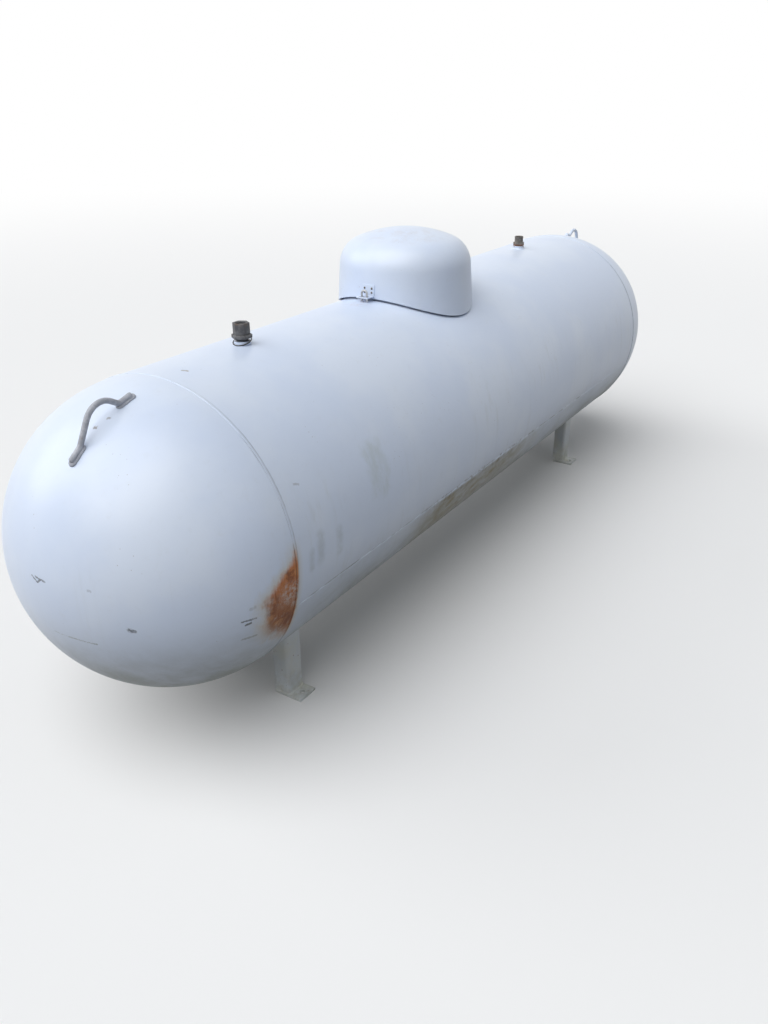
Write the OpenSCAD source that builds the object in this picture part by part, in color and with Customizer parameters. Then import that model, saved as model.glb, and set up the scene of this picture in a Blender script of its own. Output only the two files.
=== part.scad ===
// Horizontal pressure tank on four welded legs: a long barrel with
// hemispherical ends, two fittings on its crown, a lifting lug on each end,
// and a hinged dome over the valve group.
// X runs along the tank, with the near end at -X. Z = 0 is the ground.

/* [Shell] */
// Outside diameter of the barrel and its ends
shell_d = 762; // [700:1:820]
// Overall length over both ends
tank_l = 3023; // [2900:1:3200]
// Wall of the barrel
barrel_t = 5; // [4:0.5:8]
// Wall of the hemispherical ends
head_t = 4.5; // [3.5:0.5:8]
// Height of the barrel's axis above the ground
axis_h = 530; // [480:1:620]
// Width of the weld beads on the shell
weld_w = 8; // [5:0.5:12]
// Height of the weld beads above the shell
weld_h = 1.5; // [0.8:0.1:2.5]
// Angle of the lengthwise weld from the crown, on the -Y side
seam_deg = 106.5; // [95:0.5:120]

/* [Legs] */
// Distance from the middle of the tank to each pair of legs
leg_x = 950; // [850:1:1000]
// Distance from the middle plane to the outer face of a leg
leg_y = 203; // [180:1:230]
// Width of a leg along the tank
leg_w = 64; // [50:1:90]
// Depth of a leg's channel
leg_depth = 46; // [35:1:60]
// Plate thickness of the legs
leg_t = 5; // [4:0.5:7]
// Outer bend radius of the channel
leg_bend_r = 10; // [8:0.5:14]
// Reach of the foot beyond the outer face
foot_out = 38; // [30:1:60]
// Thickness of the foot
foot_t = 8; // [5:0.5:12]
// Diameter of the anchor hole in a foot
foot_hole_d = 14; // [10:0.5:18]

/* [Lifting lugs] */
// Diameter of the bent bar
lug_bar_d = 13; // [10:0.5:16]
// Angle from the top of an end to the middle of its lug
lug_mid_deg = 29.9; // [25:0.1:35]
// Angle from the middle of a lug to each welded toe
lug_toe_deg = 11.9; // [10:0.1:14]
// Length of each welded toe
lug_toe_l = 35; // [28:1:45]
// Height of the bends' meeting point above the shell
lug_rise = 68; // [60:1:90]
// Offset of that point towards the crown
lug_skew = 23; // [0:1:30]
// Bend radius at the top of a lug
lug_top_r = 45; // [36:1:50]
// Bend radius at the toes
lug_toe_r = 16; // [12:1:20]
// Thickness of the weld round a toe
lug_weld_t = 3.5; // [2:0.5:5]
// Width of the weld on each side of a toe
lug_weld_w = 5; // [3:0.5:8]
// Turn of the near lug's plane towards -Y
near_lug_turn = 5.8; // [0:0.1:8]
// Turn of the far lug's plane towards -Y
far_lug_turn = 1.8; // [0:0.1:8]

/* [Crown fittings] */
// Place of the relief valve along the tank
relief_x = -832; // [-900:1:-700]
// Place of the plugged fitting along the tank
plug_x = 777; // [700:1:900]
// Diameter of the bosses on the crown
crown_boss_d = 42; // [38:0.5:44]
// Height of those bosses
crown_boss_h = 10; // [8:0.5:14]
// Diameter of the relief valve's neck
relief_neck_d = 30; // [24:0.5:34]
// Length of the neck that shows
relief_neck_l = 7; // [5:0.5:12]
// Width across the flats of the relief valve's lower hexagon
relief_hex_af = 46; // [40:0.5:50]
// Height of the lower hexagon
relief_hex_h = 9; // [7:0.5:12]
// Width across the flats of the relief valve's body
relief_body_af = 38; // [34:0.5:40]
// Height of the body above the lower hexagon
relief_body_h = 29; // [22:0.5:36]
// Diameter of the open outlet in its top
relief_bore_d = 28; // [22:0.5:31]
// Depth of the outlet
relief_bore_h = 15; // [10:0.5:20]
// Diameter of the poppet's disc in the outlet
poppet_d = 17; // [14:0.5:20]
// Thickness of that disc
poppet_t = 6; // [3:0.5:8]
// Diameter of the poppet's stem
poppet_stem_d = 8.5; // [6:0.5:10]
// Height of the poppet with its stem
poppet_h = 11; // [9:0.5:14]
// Diameter of the loose wire ring round the neck
ring_d = 50; // [49:0.5:52]
// Diameter of the ring's wire
ring_wire_d = 3; // [2:0.5:3]
// Slope of the ring, which rises towards +X
ring_deg = 17; // [15:0.5:18]
// Width across the flats of the plug's hexagon
plug_af = 36; // [32:0.5:42]
// Height of the plug's hexagon
plug_hex_h = 14; // [10:0.5:18]
// Diameter of the plug's cap
plug_cap_d = 33; // [28:0.5:36]
// Height of the plug's cap
plug_cap_h = 21; // [16:0.5:30]

/* [Dome] */
// Place of the dome's middle along the tank
dome_x = -60; // [-120:1:60]
// Outside radius of the lid at the height of the crown
lid_r = 209; // [200:0.5:220]
// Draft of the lid's wall
lid_draft = 3.7; // [1:0.1:5]
// Height of the lid's top above the crown
lid_rise = 184; // [175:1:210]
// Shoulder radius of the lid
lid_shoulder_r = 86; // [60:1:95]
// Radius of the lid's crowned top
lid_crown_r = 400; // [350:5:500]
// Sheet thickness of the lid
lid_t = 3; // [2:0.5:4]
// Gap between the lid's edge and the shell
lid_gap = 7; // [5:0.5:10]
// Outside radius of the fixed collar inside the lid
collar_r = 194; // [180:0.5:196]
// Sheet thickness of the collar
collar_t = 4; // [3:0.5:6]
// Height of the collar's rim above the crown
collar_rise = 38; // [30:1:45]

/* [Hinge and hasp] */
// Height of the hinge axis above the crown
hinge_rise = 18; // [16:0.5:22]
// Distance of the hinge axis from the lid's wall
hinge_out = 14; // [12:0.5:18]
// Diameter of the hinge pin
pin_d = 10; // [8:0.5:12]
// Radial running clearance round the pin
pin_play = 0.05; // [0.02:0.01:0.1]
// Outside diameter of the knuckle
knuckle_d = 18; // [16:0.5:22]
// Length of the knuckle
knuckle_l = 60; // [50:1:80]
// Diameter of the hinge pin's heads
pin_head_d = 15; // [13:0.5:18]
// Thickness of the hinge pin's heads
pin_head_t = 4; // [3:0.5:6]
// Thickness of the hinge ears
ear_t = 6; // [4:0.5:8]
// Metal left in an ear outside the knuckle's radius
ear_rim = 2; // [1:0.5:3]
// Gap between the knuckle and an ear
ear_gap = 3; // [1:0.5:5]
// Thickness of the bracket's base
bracket_t = 4; // [3:0.5:4]
// Thickness of the strap and the hasp plate
strap_t = 3; // [2:0.5:4]
// Height of the strap on the lid
strap_h = 52; // [40:1:60]
// Width of the hasp plate
hasp_w = 40; // [36:1:50]
// Height of the hasp plate
hasp_h = 34; // [28:1:44]
// Reach of the hasp's tongue from the lid
hasp_reach = 36; // [32:1:44]
// Distance from the lid to the staple
staple_out = 21.5; // [18:0.5:24]
// Height of the tongue's underside above the crown
tongue_low = 12; // [10:0.5:16]
// Diameter of the staple's bar
staple_bar_d = 6; // [5:0.5:7]
// Width of the staple between bar centres
staple_w = 18; // [16:0.5:20]
// Height of the staple above the crown
staple_rise = 33; // [30:0.5:38]
// Play between the staple and the hasp's slot
slot_play = 3; // [2.5:0.5:4]
// Width of the rest inside the lid
stop_w = 30; // [20:1:40]
// Height of that rest's plate
stop_h = 26; // [18:1:34]

/* [Valves under the lid] */
// Distance of the fill and service valves from the gauge, along the tank
valve_pitch = 105; // [95:1:115]
// Angle of the vapour valve from the crown, on the -Y side
vapour_deg = 15.5; // [14:0.5:18]
// Diameter of the gauge's boss
gauge_boss_d = 86; // [76:1:90]
// Height of the gauge's boss
gauge_boss_h = 20; // [15:1:25]
// Diameter of the valves' bosses
valve_boss_d = 52; // [48:1:56]
// Height of the valves' bosses
valve_boss_h = 14; // [10:1:18]
// Diameter of the gauge's bolted flange
gauge_flange_d = 80; // [74:1:84]
// Thickness of that flange
gauge_flange_t = 9; // [6:0.5:12]
// Diameter of the circle through the flange's bolts
gauge_bolt_pcd = 64; // [60:1:66]
// Width across the flats of those bolts
gauge_bolt_af = 10; // [8:0.5:13]
// Diameter of the gauge's dial
dial_d = 46; // [40:1:48]
// Height of the dial above the flange
dial_rise = 8; // [6:0.5:12]
// Thickness of the dial
dial_t = 12; // [8:0.5:16]
// Diameter of the fill valve's threaded end
fill_end_d = 44; // [38:0.5:46]
// Length of that threaded end
fill_end_l = 26; // [20:1:30]
// Diameter of the vapour valve's threaded end
vapour_end_d = 32; // [28:0.5:36]
// Length of that threaded end
vapour_end_l = 20; // [16:1:24]
// Height of the wrench flats under each valve
flats_h = 12; // [9:0.5:16]
// Wall of the screwed caps
cap_wall = 4; // [3:0.5:5]
// Gap between a cap and the end that it covers
cap_gap = 0.4; // [0.3:0.1:0.8]
// Diameter of the ribs round a cap
cap_rib_d = 5; // [4:0.5:6]
// Number of ribs round the fill valve's cap
fill_cap_ribs = 14; // [10:1:18]
// Number of ribs round the vapour valve's cap
vapour_cap_ribs = 10; // [8:1:14]
// Diameter of the service valve's body
service_d = 32; // [28:1:36]
// Width across the wrench flats of the service valve
service_flats_af = 38.4; // [37:0.2:42]
// Height of the service valve's body above its boss
service_h = 42; // [38:1:48]
// Width across the flats of its gland
gland_af = 26; // [22:0.5:28]
// Height of the gland
gland_h = 12; // [8:0.5:14]
// Diameter of the stem
stem_d = 9; // [7:0.5:11]
// Height of the service outlet's axis above the boss
outlet_rise = 25; // [22:1:28]
// Reach of the service outlet from the valve's axis
outlet_reach = 44; // [38:1:50]
// Bore of the service outlet
outlet_d = 22; // [18:0.5:24]
// Depth of the outlet's bore
outlet_depth = 22; // [16:1:24]
// Diameter of the service valve's handwheel
wheel_d = 64; // [54:1:72]
// Diameter of the handwheel's rim
wheel_rim_d = 9; // [7:0.5:11]
// Diameter of the handwheel's hub
wheel_hub_d = 18; // [14:0.5:20]
// Height of that hub
wheel_hub_h = 12.6; // [10:0.2:15]
// Number of the handwheel's spokes
wheel_spokes = 3; // [3:1:6]
// Width of a spoke
wheel_spoke_w = 6.3; // [4:0.1:8]
// Thickness of a spoke
wheel_spoke_t = 4.5; // [3:0.1:6]
// Height of the handwheel's middle above the gland
wheel_rise = 14; // [10:0.5:18]

/* [Hidden] */
$fn = 96;

shell_r = shell_d / 2;
// Where the barrel ends and the hemispheres begin
tangent_x = (tank_l - shell_d) / 2;
// Gap left between a curved piece and the shell that carries it
seat_gap = 0.3;
// More than any cut needs to pass through
over = 1;

// Radius and centre distance of a weld bead's round cap
bead_r = (pow(weld_w / 2, 2) + pow(weld_h, 2)) / (2 * weld_h);
bead_centre = shell_r + weld_h - bead_r;

white = [0.9, 0.92, 0.94];
steel_grey = [0.55, 0.56, 0.58];
dark_grey = [0.3, 0.3, 0.31];
brass = [0.72, 0.58, 0.3];

// Angle of the line from one point to another
function heading(p, q) = atan2(q.y - p.y, q.x - p.x);
// Turn from one angle to another, the short way round
function turn(a, b) = let(d = b - a) d > 180 ? d - 360 : d < -180 ? d + 360 : d;
// The point at a radius and an angle
function polar(r, a) = [r * cos(a), r * sin(a)];

// The outside of the barrel, grown by a gap, to cut what seats on it
module barrel_form(grow = 0) {
    translate([0, 0, axis_h]) rotate([0, 90, 0])
        cylinder(r = shell_r + grow, h = 2 * tangent_x, center = true, $fn = 360);
}

// What is drawn, or its mirror image across the plane that the axis names
module mirrored(axis, wanted) {
    if (wanted) mirror(axis) children();
    else children();
}

// A place on the shell: along the tank, and turned from the crown to -Y
module on_shell(x, deg = 0) {
    translate([x, 0, axis_h]) rotate([deg, 0, 0]) translate([0, 0, shell_r]) children();
}

// A piece that is cut to sit on the barrel
module seated() {
    difference() {
        children();
        barrel_form(seat_gap);
    }
}

module hexagon(af, h) {
    cylinder(d = af / cos(30), h = h, $fn = 6);
}

module ring(outer, inner, h) {
    difference() {
        cylinder(r = outer, h = h);
        translate([0, 0, -over]) cylinder(r = inner, h = h + 2 * over);
    }
}

module round_rect(w, d, r) {
    square([w - 2 * r, d], center = true);
    square([w, d - 2 * r], center = true);
    for (sx = [-1, 1], sy = [-1, 1]) translate([sx * (w / 2 - r), sy * (d / 2 - r)]) circle(r = r);
}

// Shell
module barrel() {
    color(white) translate([0, 0, axis_h]) rotate([0, 90, 0])
        difference() {
            cylinder(r = shell_r, h = 2 * tangent_x - weld_w, center = true, $fn = 180);
            cylinder(r = shell_r - barrel_t, h = 2 * tangent_x + over, center = true, $fn = 180);
        }
}

module head(side) {
    color(white) translate([side * tangent_x, 0, axis_h]) rotate([0, side * 90, 0])
        rotate_extrude($fn = 180) intersection() {
            difference() {
                circle(r = shell_r);
                circle(r = shell_r - head_t);
            }
            translate([0, weld_w / 2]) square([shell_r + over, shell_r + over]);
        }
}

module near_head() { head(-1); }
module far_head() { head(1); }

// The round cap of a weld bead, seen end on, over the shell's radius
module bead_cap() {
    translate([bead_centre, 0]) circle(r = bead_r);
}

module girth_weld(side) {
    color(white) translate([side * tangent_x, 0, axis_h]) rotate([0, 90, 0])
        rotate_extrude($fn = 180) {
            translate([shell_r - barrel_t, -weld_w / 2]) square([barrel_t, weld_w]);
            intersection() {
                bead_cap();
                translate([shell_r, -weld_w]) square([weld_w, 2 * weld_w]);
            }
        }
}

module near_girth_weld() { girth_weld(-1); }
module far_girth_weld() { girth_weld(1); }

module barrel_seam_weld() {
    weld_l = 2 * tangent_x - weld_w;
    color(white) translate([0, 0, axis_h]) rotate([seam_deg, 0, 0]) difference() {
        translate([0, 0, bead_centre]) rotate([0, 90, 0]) cylinder(r = bead_r, h = weld_l, center = true);
        translate([-weld_l, -weld_w, shell_r + seat_gap - 2 * weld_w])
            cube([2 * weld_l, 2 * weld_w, 2 * weld_w]);
    }
}

// Legs: a bent channel, cut to the shell, on a foot with an anchor hole
module leg_section() {
    intersection() {
        difference() {
            round_rect(leg_w, 2 * leg_depth, leg_bend_r);
            round_rect(leg_w - 2 * leg_t, 2 * (leg_depth - leg_t), leg_bend_r - leg_t);
        }
        translate([-leg_w, -2 * leg_depth]) square([2 * leg_w, 2 * leg_depth]);
    }
}

module leg(side_x, side_y) {
    color(white) mirrored([0, 1, 0], side_y > 0) seated() translate([side_x * leg_x, 0, 0]) {
        translate([0, leg_depth - leg_y, 0]) linear_extrude(axis_h) leg_section();
        difference() {
            translate([-leg_w / 2, -leg_y - foot_out, 0]) cube([leg_w, foot_out + leg_depth, foot_t]);
            translate([0, -leg_y - foot_out / 2, -over]) cylinder(d = foot_hole_d, h = foot_t + 2 * over);
        }
    }
}

module leg_near_front() { leg(-1, -1); }
module leg_near_back() { leg(-1, 1); }
module leg_far_front() { leg(1, -1); }
module leg_far_back() { leg(1, 1); }

// Lifting lugs: a round bar bent to an arch, in a plane with x along the
// head and y out from the head's centre
toe_centre_r = shell_r + seat_gap + lug_bar_d / 2;
toe_near_mid = polar(toe_centre_r, 90 + lug_toe_deg);
toe_far_mid = polar(toe_centre_r, 90 - lug_toe_deg);
toe_near_end = toe_near_mid - polar(lug_toe_l / 2, lug_toe_deg);
toe_near_bend = toe_near_mid + polar(lug_toe_l / 2, lug_toe_deg);
toe_far_bend = toe_far_mid - polar(lug_toe_l / 2, -lug_toe_deg);
toe_far_end = toe_far_mid + polar(lug_toe_l / 2, -lug_toe_deg);
lug_path = [toe_near_end, toe_near_bend, [-lug_skew, shell_r + lug_rise], toe_far_bend, toe_far_end];
lug_bends = [0, lug_toe_r, lug_top_r, lug_toe_r, 0];

// Sides of the bar's section, and turn of the bar between two sections
bar_sides = 20;
bar_step_deg = 6;

// Sections of the bar at one corner of its path, each a place and a heading
function bar_stations(i) =
    let(last = len(lug_path) - 1)
    i == 0 ? [[lug_path[0], heading(lug_path[0], lug_path[1])]] :
    i == last ? [[lug_path[last], heading(lug_path[last - 1], lug_path[last])]] :
    let(
        a = heading(lug_path[i - 1], lug_path[i]),
        bend = turn(a, heading(lug_path[i], lug_path[i + 1])),
        side = bend > 0 ? 90 : -90,
        centre = lug_path[i] - polar(lug_bends[i] * tan(abs(bend) / 2), a) + polar(lug_bends[i], a + side),
        steps = ceil(abs(bend) / bar_step_deg)
    )
    [for (k = [0 : steps])
        [centre - polar(lug_bends[i], a + side + bend * k / steps), a + bend * k / steps]];

function bar_section(station) =
    let(across = polar(lug_bar_d / 2, station[1] + 90))
    [for (k = [0 : bar_sides - 1]) let(t = 360 * k / bar_sides)
        [station[0].x + across.x * cos(t), station[0].y + across.y * cos(t), lug_bar_d / 2 * sin(t)]];

module bent_bar() {
    stations = [for (i = [0 : len(lug_path) - 1]) each bar_stations(i)];
    last = (len(stations) - 1) * bar_sides;
    polyhedron(
        points = [for (station = stations) each bar_section(station)],
        faces = concat(
            [[for (k = [0 : bar_sides - 1]) k]],
            [for (i = [0 : len(stations) - 2], k = [0 : bar_sides - 1])
                let(n = (k + 1) % bar_sides, base = i * bar_sides)
                [base + k, base + bar_sides + k, base + bar_sides + n, base + n]],
            [[for (k = [bar_sides - 1 : -1 : 0]) last + k]]
        )
    );
}

// The weld round one toe: a pad with round ends that follows the head,
// grooved for the bar
module toe_weld(side) {
    width = lug_bar_d + 2 * lug_weld_w;
    rotate([0, 0, side * lug_toe_deg]) rotate([-90, 0, 0]) difference() {
        intersection() {
            sphere(r = shell_r + seat_gap + lug_weld_t, $fn = 180);
            linear_extrude(2 * shell_r) {
                square([lug_toe_l, width], center = true);
                for (end = [-1, 1]) translate([end * lug_toe_l / 2, 0]) circle(d = width);
            }
        }
        sphere(r = shell_r + seat_gap, $fn = 180);
        translate([0, 0, toe_centre_r]) rotate([0, 90, 0])
            cylinder(d = lug_bar_d, h = 2 * lug_toe_l + width, center = true);
    }
}

// Places what lies in a lug's plane on the near head or the far head
module on_head(side, plane_turn) {
    translate([side * tangent_x, 0, axis_h]) rotate([plane_turn, 0, 0]) rotate([0, side * lug_mid_deg, 0])
        rotate([90, 0, 0]) mirrored([1, 0, 0], side < 0) children();
}

module near_lifting_lug() { color(steel_grey) on_head(-1, near_lug_turn) bent_bar(); }
module far_lifting_lug() { color(white) on_head(1, far_lug_turn) bent_bar(); }

module near_lug_welds() {
    color(steel_grey) on_head(-1, near_lug_turn) for (toe = [-1, 1]) toe_weld(toe);
}

module far_lug_welds() {
    color(white) on_head(1, far_lug_turn) for (toe = [-1, 1]) toe_weld(toe);
}

// Crown fittings
module boss(x, deg, d, h) {
    seated() on_shell(x, deg) translate([0, 0, -d / 8]) cylinder(d = d, h = h + d / 8);
}

module relief_boss() { color(white) boss(relief_x, 0, crown_boss_d, crown_boss_h); }
module plug_boss() { color(white) boss(plug_x, 0, crown_boss_d, crown_boss_h); }

relief_hex_z = crown_boss_h + relief_neck_l;
relief_top_z = relief_hex_z + relief_hex_h + relief_body_h;

module relief_valve_body() {
    color(dark_grey) on_shell(relief_x) difference() {
        union() {
            translate([0, 0, crown_boss_h]) cylinder(d = relief_neck_d, h = relief_neck_l);
            translate([0, 0, relief_hex_z]) hexagon(relief_hex_af, relief_hex_h);
            translate([0, 0, relief_hex_z + relief_hex_h]) hexagon(relief_body_af, relief_body_h);
        }
        translate([0, 0, relief_top_z - relief_bore_h])
            cylinder(d = relief_bore_d, h = relief_bore_h + over);
    }
}

module relief_valve_poppet() {
    color(steel_grey) on_shell(relief_x) translate([0, 0, relief_top_z - relief_bore_h]) {
        cylinder(d = poppet_d, h = poppet_t);
        cylinder(d = poppet_stem_d, h = poppet_h);
    }
}

module relief_wire_ring() {
    ring_r = (ring_d - ring_wire_d) / 2;
    color(dark_grey) on_shell(relief_x)
        translate([0, 0, ring_wire_d / 2 + seat_gap + ring_r * sin(ring_deg)]) rotate([0, -ring_deg, 0])
            rotate_extrude() translate([ring_r, 0]) circle(d = ring_wire_d, $fn = 24);
}

module plug_body() {
    color(dark_grey) on_shell(plug_x) translate([0, 0, crown_boss_h]) hexagon(plug_af, plug_hex_h);
}

module plug_cap() {
    color(dark_grey) on_shell(plug_x) translate([0, 0, crown_boss_h + plug_hex_h])
        cylinder(d = plug_cap_d, h = plug_cap_h);
}

// Dome lid: the outline is a drafted wall, a shoulder arc and a crown arc,
// all tangent; an inset gives the inner face
crown_z = axis_h + shell_r;
// Low enough for the barrel's form to cut the wall all round
lid_wall_bottom = -shell_r / 3;
function lid_wall_r(z) = lid_r - z * tan(lid_draft);
// The shoulder's centre lies on a line parallel to the wall, at the
// distance from the crown's centre that makes both arcs tangent
crown_arc_z = lid_rise - lid_crown_r;
shoulder_line_r = lid_r - lid_shoulder_r / cos(lid_draft);
shoulder_reach = lid_crown_r - lid_shoulder_r;
shoulder_b = shoulder_line_r * sin(lid_draft) + crown_arc_z * cos(lid_draft);
shoulder_c = pow(shoulder_line_r, 2) + pow(crown_arc_z, 2) - pow(shoulder_reach, 2);
shoulder_s = shoulder_b + sqrt(pow(shoulder_b, 2) - shoulder_c);
shoulder_at = [shoulder_line_r - shoulder_s * sin(lid_draft), shoulder_s * cos(lid_draft)];

module lid_outline(inset) {
    wall_out = polar(lid_shoulder_r - inset, lid_draft);
    crown_dir = heading([0, crown_arc_z], shoulder_at);
    bottom_r = lid_wall_r(lid_wall_bottom) - inset / cos(lid_draft);
    polygon([
        [0, lid_wall_bottom], [bottom_r, lid_wall_bottom],
        shoulder_at + wall_out, shoulder_at, [0, shoulder_at.y]
    ]);
    translate(shoulder_at) circle(r = lid_shoulder_r - inset);
    intersection() {
        translate([0, crown_arc_z]) circle(r = lid_crown_r - inset);
        polygon([
            [0, shoulder_at.y], shoulder_at,
            [0, crown_arc_z] + polar(lid_crown_r * 1.1, crown_dir), [0, lid_rise * 2]
        ]);
    }
}

// A solid of the lid's form, or what lies between two insets of it
module lid_form(inset) {
    translate([dome_x, 0, crown_z]) rotate_extrude($fn = 180)
        intersection() {
            lid_outline(inset);
            translate([0, -shell_r]) square([2 * lid_r, 2 * shell_r]);
        }
}

module dome_lid() {
    color(white) difference() {
        lid_form(0);
        lid_form(lid_t);
        barrel_form(lid_gap);
    }
}

module dome_collar() {
    color(white) seated() translate([dome_x, 0, axis_h])
        ring(collar_r, collar_r - collar_t, shell_r + collar_rise);
}

// Hinge
hinge_x = dome_x + lid_wall_r(hinge_rise) + hinge_out;
hinge_z = crown_z + hinge_rise;
ear_inner = knuckle_l / 2 + ear_gap;
ear_outer = ear_inner + ear_t;
ear_r = knuckle_d / 2 + ear_rim;

module pin_axis(r, from, to) {
    translate([hinge_x, from, hinge_z]) rotate([-90, 0, 0]) cylinder(r = r, h = to - from);
}

module hinge_bracket() {
    base_l = 2 * knuckle_d;
    color(steel_grey) difference() {
        union() {
            translate([hinge_x - knuckle_d / 2, -ear_outer - ear_t, crown_z - knuckle_d])
                cube([base_l, 2 * (ear_outer + ear_t), knuckle_d + bracket_t]);
            for (side = [-1, 1]) {
                low = side < 0 ? -ear_outer : ear_inner;
                pin_axis(ear_r, low, low + ear_t);
                translate([hinge_x - ear_r, low, crown_z]) cube([2 * ear_r, ear_t, hinge_rise]);
            }
        }
        barrel_form(seat_gap);
        pin_axis(pin_d / 2 + pin_play, -ear_outer - over, ear_outer + over);
    }
}

module hinge_pin() {
    head_y = ear_outer + seat_gap;
    color(steel_grey) {
        pin_axis(pin_d / 2, -head_y, head_y);
        pin_axis(pin_head_d / 2, -head_y - pin_head_t, -head_y);
        pin_axis(pin_head_d / 2, head_y, head_y + pin_head_t);
    }
}

// A plate that follows the lid's wall, outside it or inside it
module wall_plate(side, from_inset, to_inset, w, low, high) {
    intersection() {
        difference() {
            lid_form(min(from_inset, to_inset));
            lid_form(max(from_inset, to_inset));
        }
        translate([dome_x + (side < 0 ? -2 * lid_r : 0), -w / 2, crown_z + low])
            cube([2 * lid_r, w, high - low]);
    }
}

module lid_hinge_strap() {
    color(steel_grey) difference() {
        union() {
            wall_plate(1, 0, -strap_t, knuckle_l, hinge_rise - knuckle_d / 4, hinge_rise + strap_h);
            pin_axis(knuckle_d / 2, -knuckle_l / 2, knuckle_l / 2);
            translate([dome_x + lid_wall_r(0), -knuckle_l / 2, hinge_z - knuckle_d / 4])
                cube([hinge_out, knuckle_l, knuckle_d / 2]);
        }
        pin_axis(pin_d / 2 + pin_play, -knuckle_l, knuckle_l);
    }
}

// Hasp: a plate on the lid with a slotted tongue that drops over the staple
staple_x = dome_x - lid_wall_r(tongue_low) - staple_out;

module lid_hasp() {
    tongue_x = dome_x - lid_wall_r(tongue_low) - hasp_reach;
    color(steel_grey) difference() {
        union() {
            wall_plate(-1, 0, -strap_t, hasp_w, tongue_low, tongue_low + hasp_h);
            translate([tongue_x, -hasp_w / 2, crown_z + tongue_low])
                cube([hasp_reach + strap_t, hasp_w, strap_t]);
        }
        translate([staple_x, 0, crown_z + tongue_low - over]) linear_extrude(strap_t + 2 * over)
            square([staple_bar_d + 2 * slot_play, staple_w + staple_bar_d + 2 * slot_play], center = true);
        lid_form(0);
    }
}

module hasp_staple() {
    leg_h = staple_rise - staple_w / 2;
    color(steel_grey) seated() translate([staple_x, 0, crown_z]) {
        for (side = [-1, 1]) translate([0, side * staple_w / 2, -staple_bar_d])
            cylinder(d = staple_bar_d, h = leg_h + staple_bar_d);
        translate([0, 0, leg_h]) rotate([90, 0, 90]) rotate_extrude(angle = 180)
            translate([staple_w / 2, 0]) circle(d = staple_bar_d, $fn = 48);
    }
}

// A small bracket inside the lid that rests on the collar's rim
module lid_stop() {
    low = collar_rise + seat_gap;
    color(steel_grey) {
        wall_plate(-1, lid_t, lid_t + strap_t, stop_w, low, low + stop_h);
        difference() {
            translate([dome_x - lid_wall_r(low), -stop_w / 2, crown_z + low])
                cube([lid_r - collar_r + 3 * collar_t, stop_w, strap_t]);
            difference() {
                translate([dome_x - 2 * lid_r, -lid_r, crown_z]) cube([2 * lid_r, 2 * lid_r, lid_rise]);
                lid_form(lid_t);
            }
        }
    }
}

// Valves under the lid, each on its own boss
fill_x = dome_x - valve_pitch;
service_x = dome_x + valve_pitch;

// A screwed end on wrench flats; its cap comes down to the flats
module capped_valve(end_d, end_l) {
    hexagon(end_d, flats_h);
    translate([0, 0, flats_h]) cylinder(d = end_d, h = end_l);
}

module ribbed_cap(end_d, end_l, ribs) {
    inner_r = end_d / 2 + cap_gap;
    outer_r = inner_r + cap_wall;
    inner_h = end_l + cap_gap - seat_gap;
    skirt_h = inner_h + cap_wall / 2;
    translate([0, 0, flats_h + seat_gap]) difference() {
        union() {
            linear_extrude(skirt_h) {
                circle(r = outer_r);
                for (k = [1 : ribs]) rotate(360 * k / ribs) translate([outer_r, 0])
                    circle(d = cap_rib_d, $fn = 24);
            }
            cylinder(r = outer_r - cap_wall / 2, h = inner_h + cap_wall);
        }
        translate([0, 0, -over]) cylinder(r = inner_r, h = inner_h + over);
    }
}

module gauge_boss() { color(white) boss(dome_x, 0, gauge_boss_d, gauge_boss_h); }

module gauge_head() {
    color(steel_grey) on_shell(dome_x) translate([0, 0, gauge_boss_h]) {
        cylinder(d = gauge_flange_d, h = gauge_flange_t);
        cylinder(d = dial_d, h = gauge_flange_t + dial_rise);
        for (k = [0 : 3]) rotate([0, 0, 45 + 90 * k]) translate([gauge_bolt_pcd / 2, 0, 0])
            hexagon(gauge_bolt_af, gauge_flange_t + gauge_bolt_af / 2);
    }
}

module gauge_dial() {
    color(dark_grey) on_shell(dome_x) translate([0, 0, gauge_boss_h + gauge_flange_t + dial_rise])
        cylinder(d = dial_d, h = dial_t);
}

module fill_boss() { color(white) boss(fill_x, 0, valve_boss_d, valve_boss_h); }

module fill_valve() {
    color(brass) on_shell(fill_x) translate([0, 0, valve_boss_h]) capped_valve(fill_end_d, fill_end_l);
}

module fill_cap() {
    color(dark_grey) on_shell(fill_x) translate([0, 0, valve_boss_h])
        ribbed_cap(fill_end_d, fill_end_l, fill_cap_ribs);
}

module vapour_boss() { color(white) boss(dome_x, vapour_deg, valve_boss_d, valve_boss_h); }

module vapour_valve() {
    color(brass) on_shell(dome_x, vapour_deg) translate([0, 0, valve_boss_h])
        capped_valve(vapour_end_d, vapour_end_l);
}

module vapour_cap() {
    color(dark_grey) on_shell(dome_x, vapour_deg) translate([0, 0, valve_boss_h])
        ribbed_cap(vapour_end_d, vapour_end_l, vapour_cap_ribs);
}

module service_boss() { color(white) boss(service_x, 0, valve_boss_d, valve_boss_h); }

module service_valve() {
    gland_top = service_h + gland_h;
    color(brass) on_shell(service_x) translate([0, 0, valve_boss_h]) difference() {
        union() {
            hexagon(service_flats_af, flats_h);
            cylinder(d = service_d, h = service_h);
            translate([0, 0, service_h]) hexagon(gland_af, gland_h);
            cylinder(d = stem_d, h = gland_top + wheel_rise + wheel_rim_d);
            translate([0, 0, outlet_rise]) rotate([90, 0, 0]) cylinder(d = service_d, h = outlet_reach);
        }
        translate([0, outlet_depth - outlet_reach, outlet_rise]) rotate([90, 0, 0])
            cylinder(d = outlet_d, h = outlet_depth + over);
    }
}

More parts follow.
